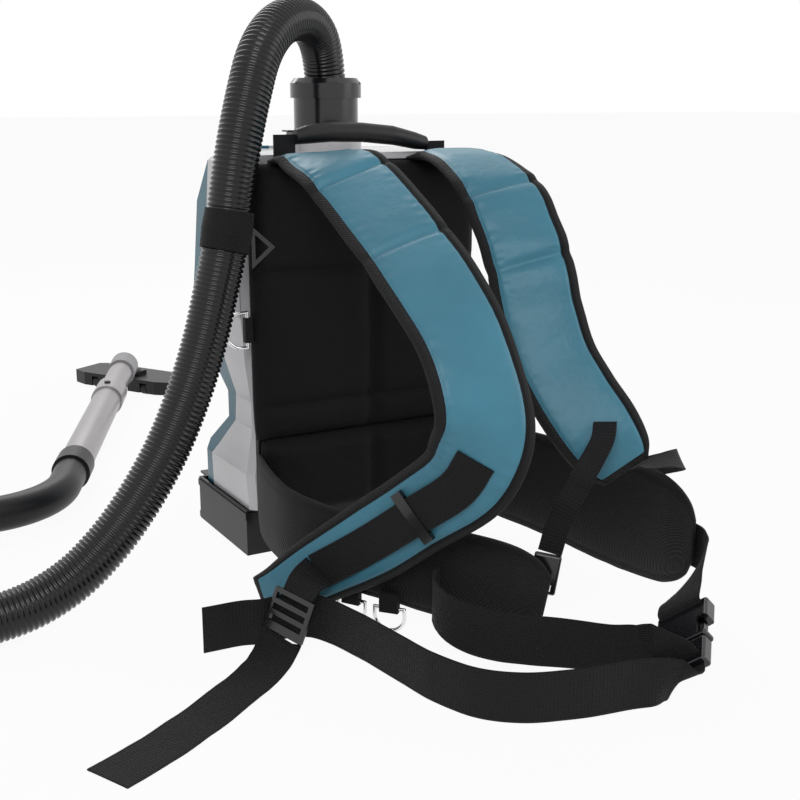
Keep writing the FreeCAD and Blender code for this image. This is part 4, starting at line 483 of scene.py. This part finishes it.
satin_teal = finish("satin_teal_nylon", (0.06, 0.23, 0.32), 0.42, sheen=0.05, specular=0.4)
varied(satin_teal, 62, 0.1, 0.55, 0.0022, 7.0)
left_strap = cushion("left_strap_cushion", left_route, 0.0075, 0.0056, (4, 7.6), 0.8, satin_teal, strap_binding, 3)
right_strap = cushion("right_strap_cushion", right_route, 0.0075, 0.0056, (5, 8.4), 0.8, satin_teal, strap_binding, 5)
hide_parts("left_shoulder_strap")
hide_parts("right_shoulder_strap")

# Waist wings: black padded wings of the belt with the same bound edge, sewn to the lumbar pad.
left_wing_route = [
    ((-140.1, -98, 80), (0, 0, 1), 48), ((-154, -170, 80), (0, 0, 1), 46), ((-156, -235, 80), (0, 0, 1), 44),
    ((-134, -300, 78), (0, 0, 1), 42), ((-99, -356, 75), (0, 0, 1), 43), ((-60, -402, 70), (0, 0, 1), 47),
    ((-27, -436, 64), (0, 0, 1), 45), ((-8, -454, 61), (0, 0, 1), 36), ((4, -465, 58), (0, 0, 1), 20)]
right_wing_route = [
    ((140.1, -98, 80), (0, 0, 1), 56), ((158, -170, 80), (0, 0, 1), 60), ((172, -260, 80), (0, 0, 1), 62),
    ((180, -340, 80), (0, 0, 1), 64), ((184, -400, 82), (0, 0, 1), 63), ((184, -436, 84), (0, 0, 1), 56),
    ((184, -460, 85), (0, 0, 1), 42), ((184, -472, 85), (0, 0, 1), 22)]
wing_cloth = varied(finish("wing_cloth", (0.008, 0.008, 0.009), 0.75, sheen=0.05, specular=0.15), 900, 0.3, 0.5,
                    0.0004)
left_wing = cushion("left_wing_cushion", left_wing_route, 0.0046, 0.0072, (), 0.86, wing_cloth, strap_binding, 7)
right_wing = cushion("right_wing_cushion", right_wing_route, 0.0072, 0.0046, (), 0.86, wing_cloth, strap_binding, 9)
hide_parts("left_waist_wing")
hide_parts("right_waist_wing")

# Back pad and lumbar pad: foam under black spacer mesh, each with two lobes, a channel up the middle and an
# edge that falls away to the rim. They are flat behind, where they lie on the harness plate.
spacer_mesh = finish("spacer_mesh", (0.0075, 0.0075, 0.0085), 0.8, sheen=0.03, specular=0.15)
holes = spacer_mesh.node_tree
hole_place, cells = holes.nodes.new("ShaderNodeTexCoord"), holes.nodes.new("ShaderNodeTexVoronoi")
cells.inputs["Scale"].default_value = 340
cells.inputs["Randomness"].default_value = 0.35
hole_rise = holes.nodes.new("ShaderNodeBump")
hole_rise.inputs["Strength"].default_value = 0.9
hole_rise.inputs["Distance"].default_value = 0.0008
hole_rise.invert = True
holes.links.new(hole_place.outputs["Object"], cells.inputs["Vector"])
holes.links.new(cells.outputs["Distance"], hole_rise.inputs["Height"])
holes.links.new(hole_rise.outputs["Normal"], holes.nodes["Principled BSDF"].inputs["Normal"])


def pad(name, node, low, high, half, thick, seams, rim, seed):
    """A pad over a rectangle: its front is thick times a swell that falls to the rim at each edge and to a channel
    in the middle and at each cross seam; its back is flat."""
    rows, cols = 90, 96
    edge_width, channel_width, seam_width = 0.017, 0.009, 0.006
    v, u = np.meshgrid(np.linspace(0, 1, rows), np.linspace(-1, 1, cols), indexing="ij")
    height = high - low
    corner = np.clip(1 - (np.abs(u) ** 9 + np.abs(2 * v - 1) ** 16), 0, 1)
    edge = np.clip(np.minimum((1 - np.abs(u)) * half, np.minimum(v, 1 - v) * height) / edge_width, 0, 1)
    swell = (1 - (1 - edge) ** 2) ** 0.6 * (0.55 + 0.45 * corner)
    swell *= 1 - 0.42 * np.exp(-(u * half / channel_width) ** 2)
    for seam in seams:
        swell *= 1 - 0.4 * np.exp(-((v - seam) * height / seam_width) ** 2)
    rng = np.random.default_rng(seed)
    wave = sum(np.sin(rng.uniform(6, 24) * u + rng.uniform(5, 20) * v + rng.uniform(0, 6)) for _ in range(6)) / 6
    y = rim - 0.0045 - (thick - 0.0055) * swell - 0.0009 * wave * edge
    x = u * half * (1 - 0.02 * np.abs(2 * v - 1) ** 8)
    z = low + v * height
    front = np.stack([x, y, z], -1)
    behind = np.stack([x, np.full_like(x, rim - 0.0003), z], -1)
    loop = np.concatenate([front, behind[:, ::-1]], 1)
    thing = outward(grid_piece(name, loop, "backpack"))
    thing.data.materials.append(spacer_mesh)
    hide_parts(node)
    return thing


pad_back = -0.0963
pad("back_pad_cushion", "back_pad", 0.146, 0.4577, 0.1455, 0.0235, (0.13, 0.62), pad_back, 11)
pad("lumbar_pad_cushion", "lumbar_pad", 0.05, 0.145, 0.1375, 0.028, (), pad_back, 13)

# Webbing: woven nylon tape, 48 mm on the belt, 38 mm at the adjuster and 24 mm elsewhere, with a thick selvedge on
# each side. It passes through the buckles.
slant = (0.427, -0.667, 0.61)  # the belt's width direction where it meets the buckle


def tape(name, route, thick, seed=0, sag=0.0008):
    """A flat closed ribbon along a route: a rounded rectangle carried along it, with a small slow ripple."""
    place, across, out, half, run, _ = along_route(route, 16)
    rng = np.random.default_rng(seed)
    fade = np.clip(np.minimum(run, run[-1] - run) / 0.04, 0, 1)
    ripple = sag * np.interp(run, np.linspace(0, run[-1], 18), rng.uniform(-1, 1, 18)) * fade
    s = np.array([-1, -0.94, -0.88, -0.5, 0, 0.5, 0.88, 0.94, 1, 1, 0.94, 0.88, 0.5, 0, -0.5, -0.88, -0.94, -1])
    lift = np.array([0.6, 1.1, 0.85, 0.85, 0.85, 0.85, 0.85, 1.1, 0.6, -0.6, -1.1, -0.85, -0.85, -0.85, -0.85, -0.85,
                     -1.1, -0.6])
    grid = (place[:, None] + across[:, None] * (s[None, :, None] * half[:, None, None])
            + out[:, None] * ((lift * thick / 2)[None, :, None]
                              + (ripple[:, None] * np.ones_like(s)[None])[:, :, None]))
    uv = np.stack(np.broadcast_arrays((s * np.sign(lift))[None, :] * half[:, None], run[:, None]), -1)
    thing = outward(grid_piece(name, grid, "backpack", uv=uv, smooth=False))
    thing.data.materials.append(webbing_cloth)
    return thing, float(run[-1])


def webbing(name, node, route, thick=0.0018, seed=0):
    """One run of webbing, built as a flat ribbon along its route, with the CAD node it replaces hidden."""
    thing, length = tape(name, route, thick, seed)
    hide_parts(node)
    return thing


belt_half, adjuster_half, narrow_half = 24, 19, 12
front_belt = [(place, (0, 0, 1), belt_half) for place in (
    (-290, -303, 24.5), (-252, -306, 24.5), (-232, -311.6, 24.5), (-212, -311.6, 24.5), (-186, -320, 24.5),
    (-172, -345, 24.5), (-163, -385, 24.5), (-156, -425, 24.5), (-145, -493, 24.5), (-128, -540, 24.5),
    (-95, -570, 24.5), (-50, -587, 24.5), (2, -597, 24.5))]
front_belt += [((24, -603, 24.3), (0.2, -0.1, 1), belt_half), ((38.5, -606, 23.6), (0.45, -0.35, 0.8), belt_half),
               ((48.1, -608.7, 22.2), slant, belt_half), ((53.4, -603.2, 24.25), slant, belt_half)]
tail = [((-223.3, -340, 17.1), (0.3, -0.93, -0.15), belt_half),
        ((-225.5, -340.3, 12.2), (0.3, -0.93, -0.15), belt_half),
        ((-238, -352, 6), (0.4, -0.91, 0), belt_half), ((-262, -374, 2.6), (0.45, -0.9, 0), belt_half),
        ((-320, -415, 1.4), (0.42, -0.9, 0), belt_half), ((-380, -452, 1.4), (0.38, -0.92, 0), belt_half),
        ((-438, -480, 1.4), (0.35, -0.94, 0), belt_half)]
back_belt = [((-76.2, -395.7, 60), (0, 0, 1), belt_half), ((-96, -415, 59), (0, 0, 1), belt_half),
             ((-103, -442, 57), (0, 0, 1), belt_half), ((-93, -470, 50), (0, 0.05, 1), belt_half),
             ((-66, -492, 43), (0, 0.1, 1), belt_half), ((-18, -516, 36), (0, 0.1, 1), belt_half),
             ((18, -545, 34), (0.15, -0.2, 0.95), belt_half), ((33, -568, 38), (0.3, -0.5, 0.8), belt_half),
             ((40, -583, 42.3), slant, belt_half), ((49.4, -592, 39.1), slant, belt_half),
             ((54.4, -594.3, 33.3), slant, belt_half), ((59.6, -596.7, 27), slant, belt_half)]
right_belt = [((194, -400, 78), (0, 0, 1), belt_half), ((193.8, -440, 76), (0, 0, 1), belt_half),
              ((192.4, -472, 75), (0, 0, 1), belt_half), ((182, -490, 73), (0.05, -0.1, 1), belt_half),
              ((156, -506, 70), (0.2, -0.3, 0.9), belt_half), ((126, -524, 65), (0.35, -0.55, 0.75), belt_half),
              ((109, -536, 61.5), slant, belt_half), ((101.2, -542.6, 57.5), slant, belt_half),
              ((101.2, -546.2, 53.2), slant, belt_half), ((106.2, -548.5, 47.2), slant, belt_half)]
sternum = [((97.5, -427.2, 212.9), (0.75, -0.55, 0.3), narrow_half),
           ((82, -441, 196), (0.8, -0.55, 0.25), narrow_half),
           ((50, -451, 165), (0.8, -0.6, 0), narrow_half), ((27, -450, 127), (0.8, -0.6, 0), narrow_half),
           ((17, -449, 96), (0.8, -0.6, 0), narrow_half)]
right_web = [((124, -443.4, 164.1), (-0.7, 0.5, -0.3), narrow_half), ((160, -448, 168), (0, 0.9, 0.3), narrow_half),
             ((196, -432, 160), (0, 0.6, 0.8), narrow_half), ((214, -380, 138), (0, -0.35, 0.93), narrow_half),
             ((214, -300, 104), (0, -0.35, 0.93), narrow_half), ((196, -200, 72), (0, -0.3, 0.95), narrow_half),
             ((158, -106, 58), (0, 0, 1), narrow_half)]
lock_web = [((-166, -307.6, 63.7), (0.44, -0.63, -0.64), adjuster_half),
            ((-186, -322, 62), (0.35, -0.85, -0.35), adjuster_half),
            ((-202.5, -333, 51.5), (0.3, -0.93, -0.15), adjuster_half)]
adjuster = []
stations = along_route(left_route, 1)
for k in range(13, 18):
    rise = 0.0108 + (0.003 if k == 15 else 0)
    adjuster.append((tuple((stations[0][k] + stations[2][k] * rise) * 1000), tuple(stations[1][k]), adjuster_half))
webbing("belt_front_tape", "belt_webbing_front", front_belt, seed=1)
webbing("belt_tail_tape", "belt_webbing_front", tail, seed=2)
webbing("belt_back_tape", "belt_webbing_back", back_belt, seed=3)
webbing("belt_right_tape", "belt_webbing_back", right_belt, seed=4)
webbing("sternum_tape", "sternum_webbing", sternum, 0.0016, 5)
webbing("right_strap_tape", "right_strap_webbing", right_web, 0.0016, seed=6)
webbing("lock_tape", "left_strap_webbing", lock_web, seed=7)
webbing("adjuster_tape", "left_strap_webbing", adjuster, seed=8)
dressed("sewn_loops", varied(finish("loop_cloth", (0.008, 0.008, 0.009), 0.7, sheen=0.04, specular=0.2), 1500, 0.3,
                             0.6, 0.0004))

# Carrying handle: a soft black moulded grip, held by a webbing end at each side. Its dots and finger grooves are
# not modelled.
grip_rubber = varied(finish("grip_rubber", (0.008, 0.008, 0.009), 0.45, specular=0.35), 700, 0.2, 0.35)
dressed("handle_grip", grip_rubber)
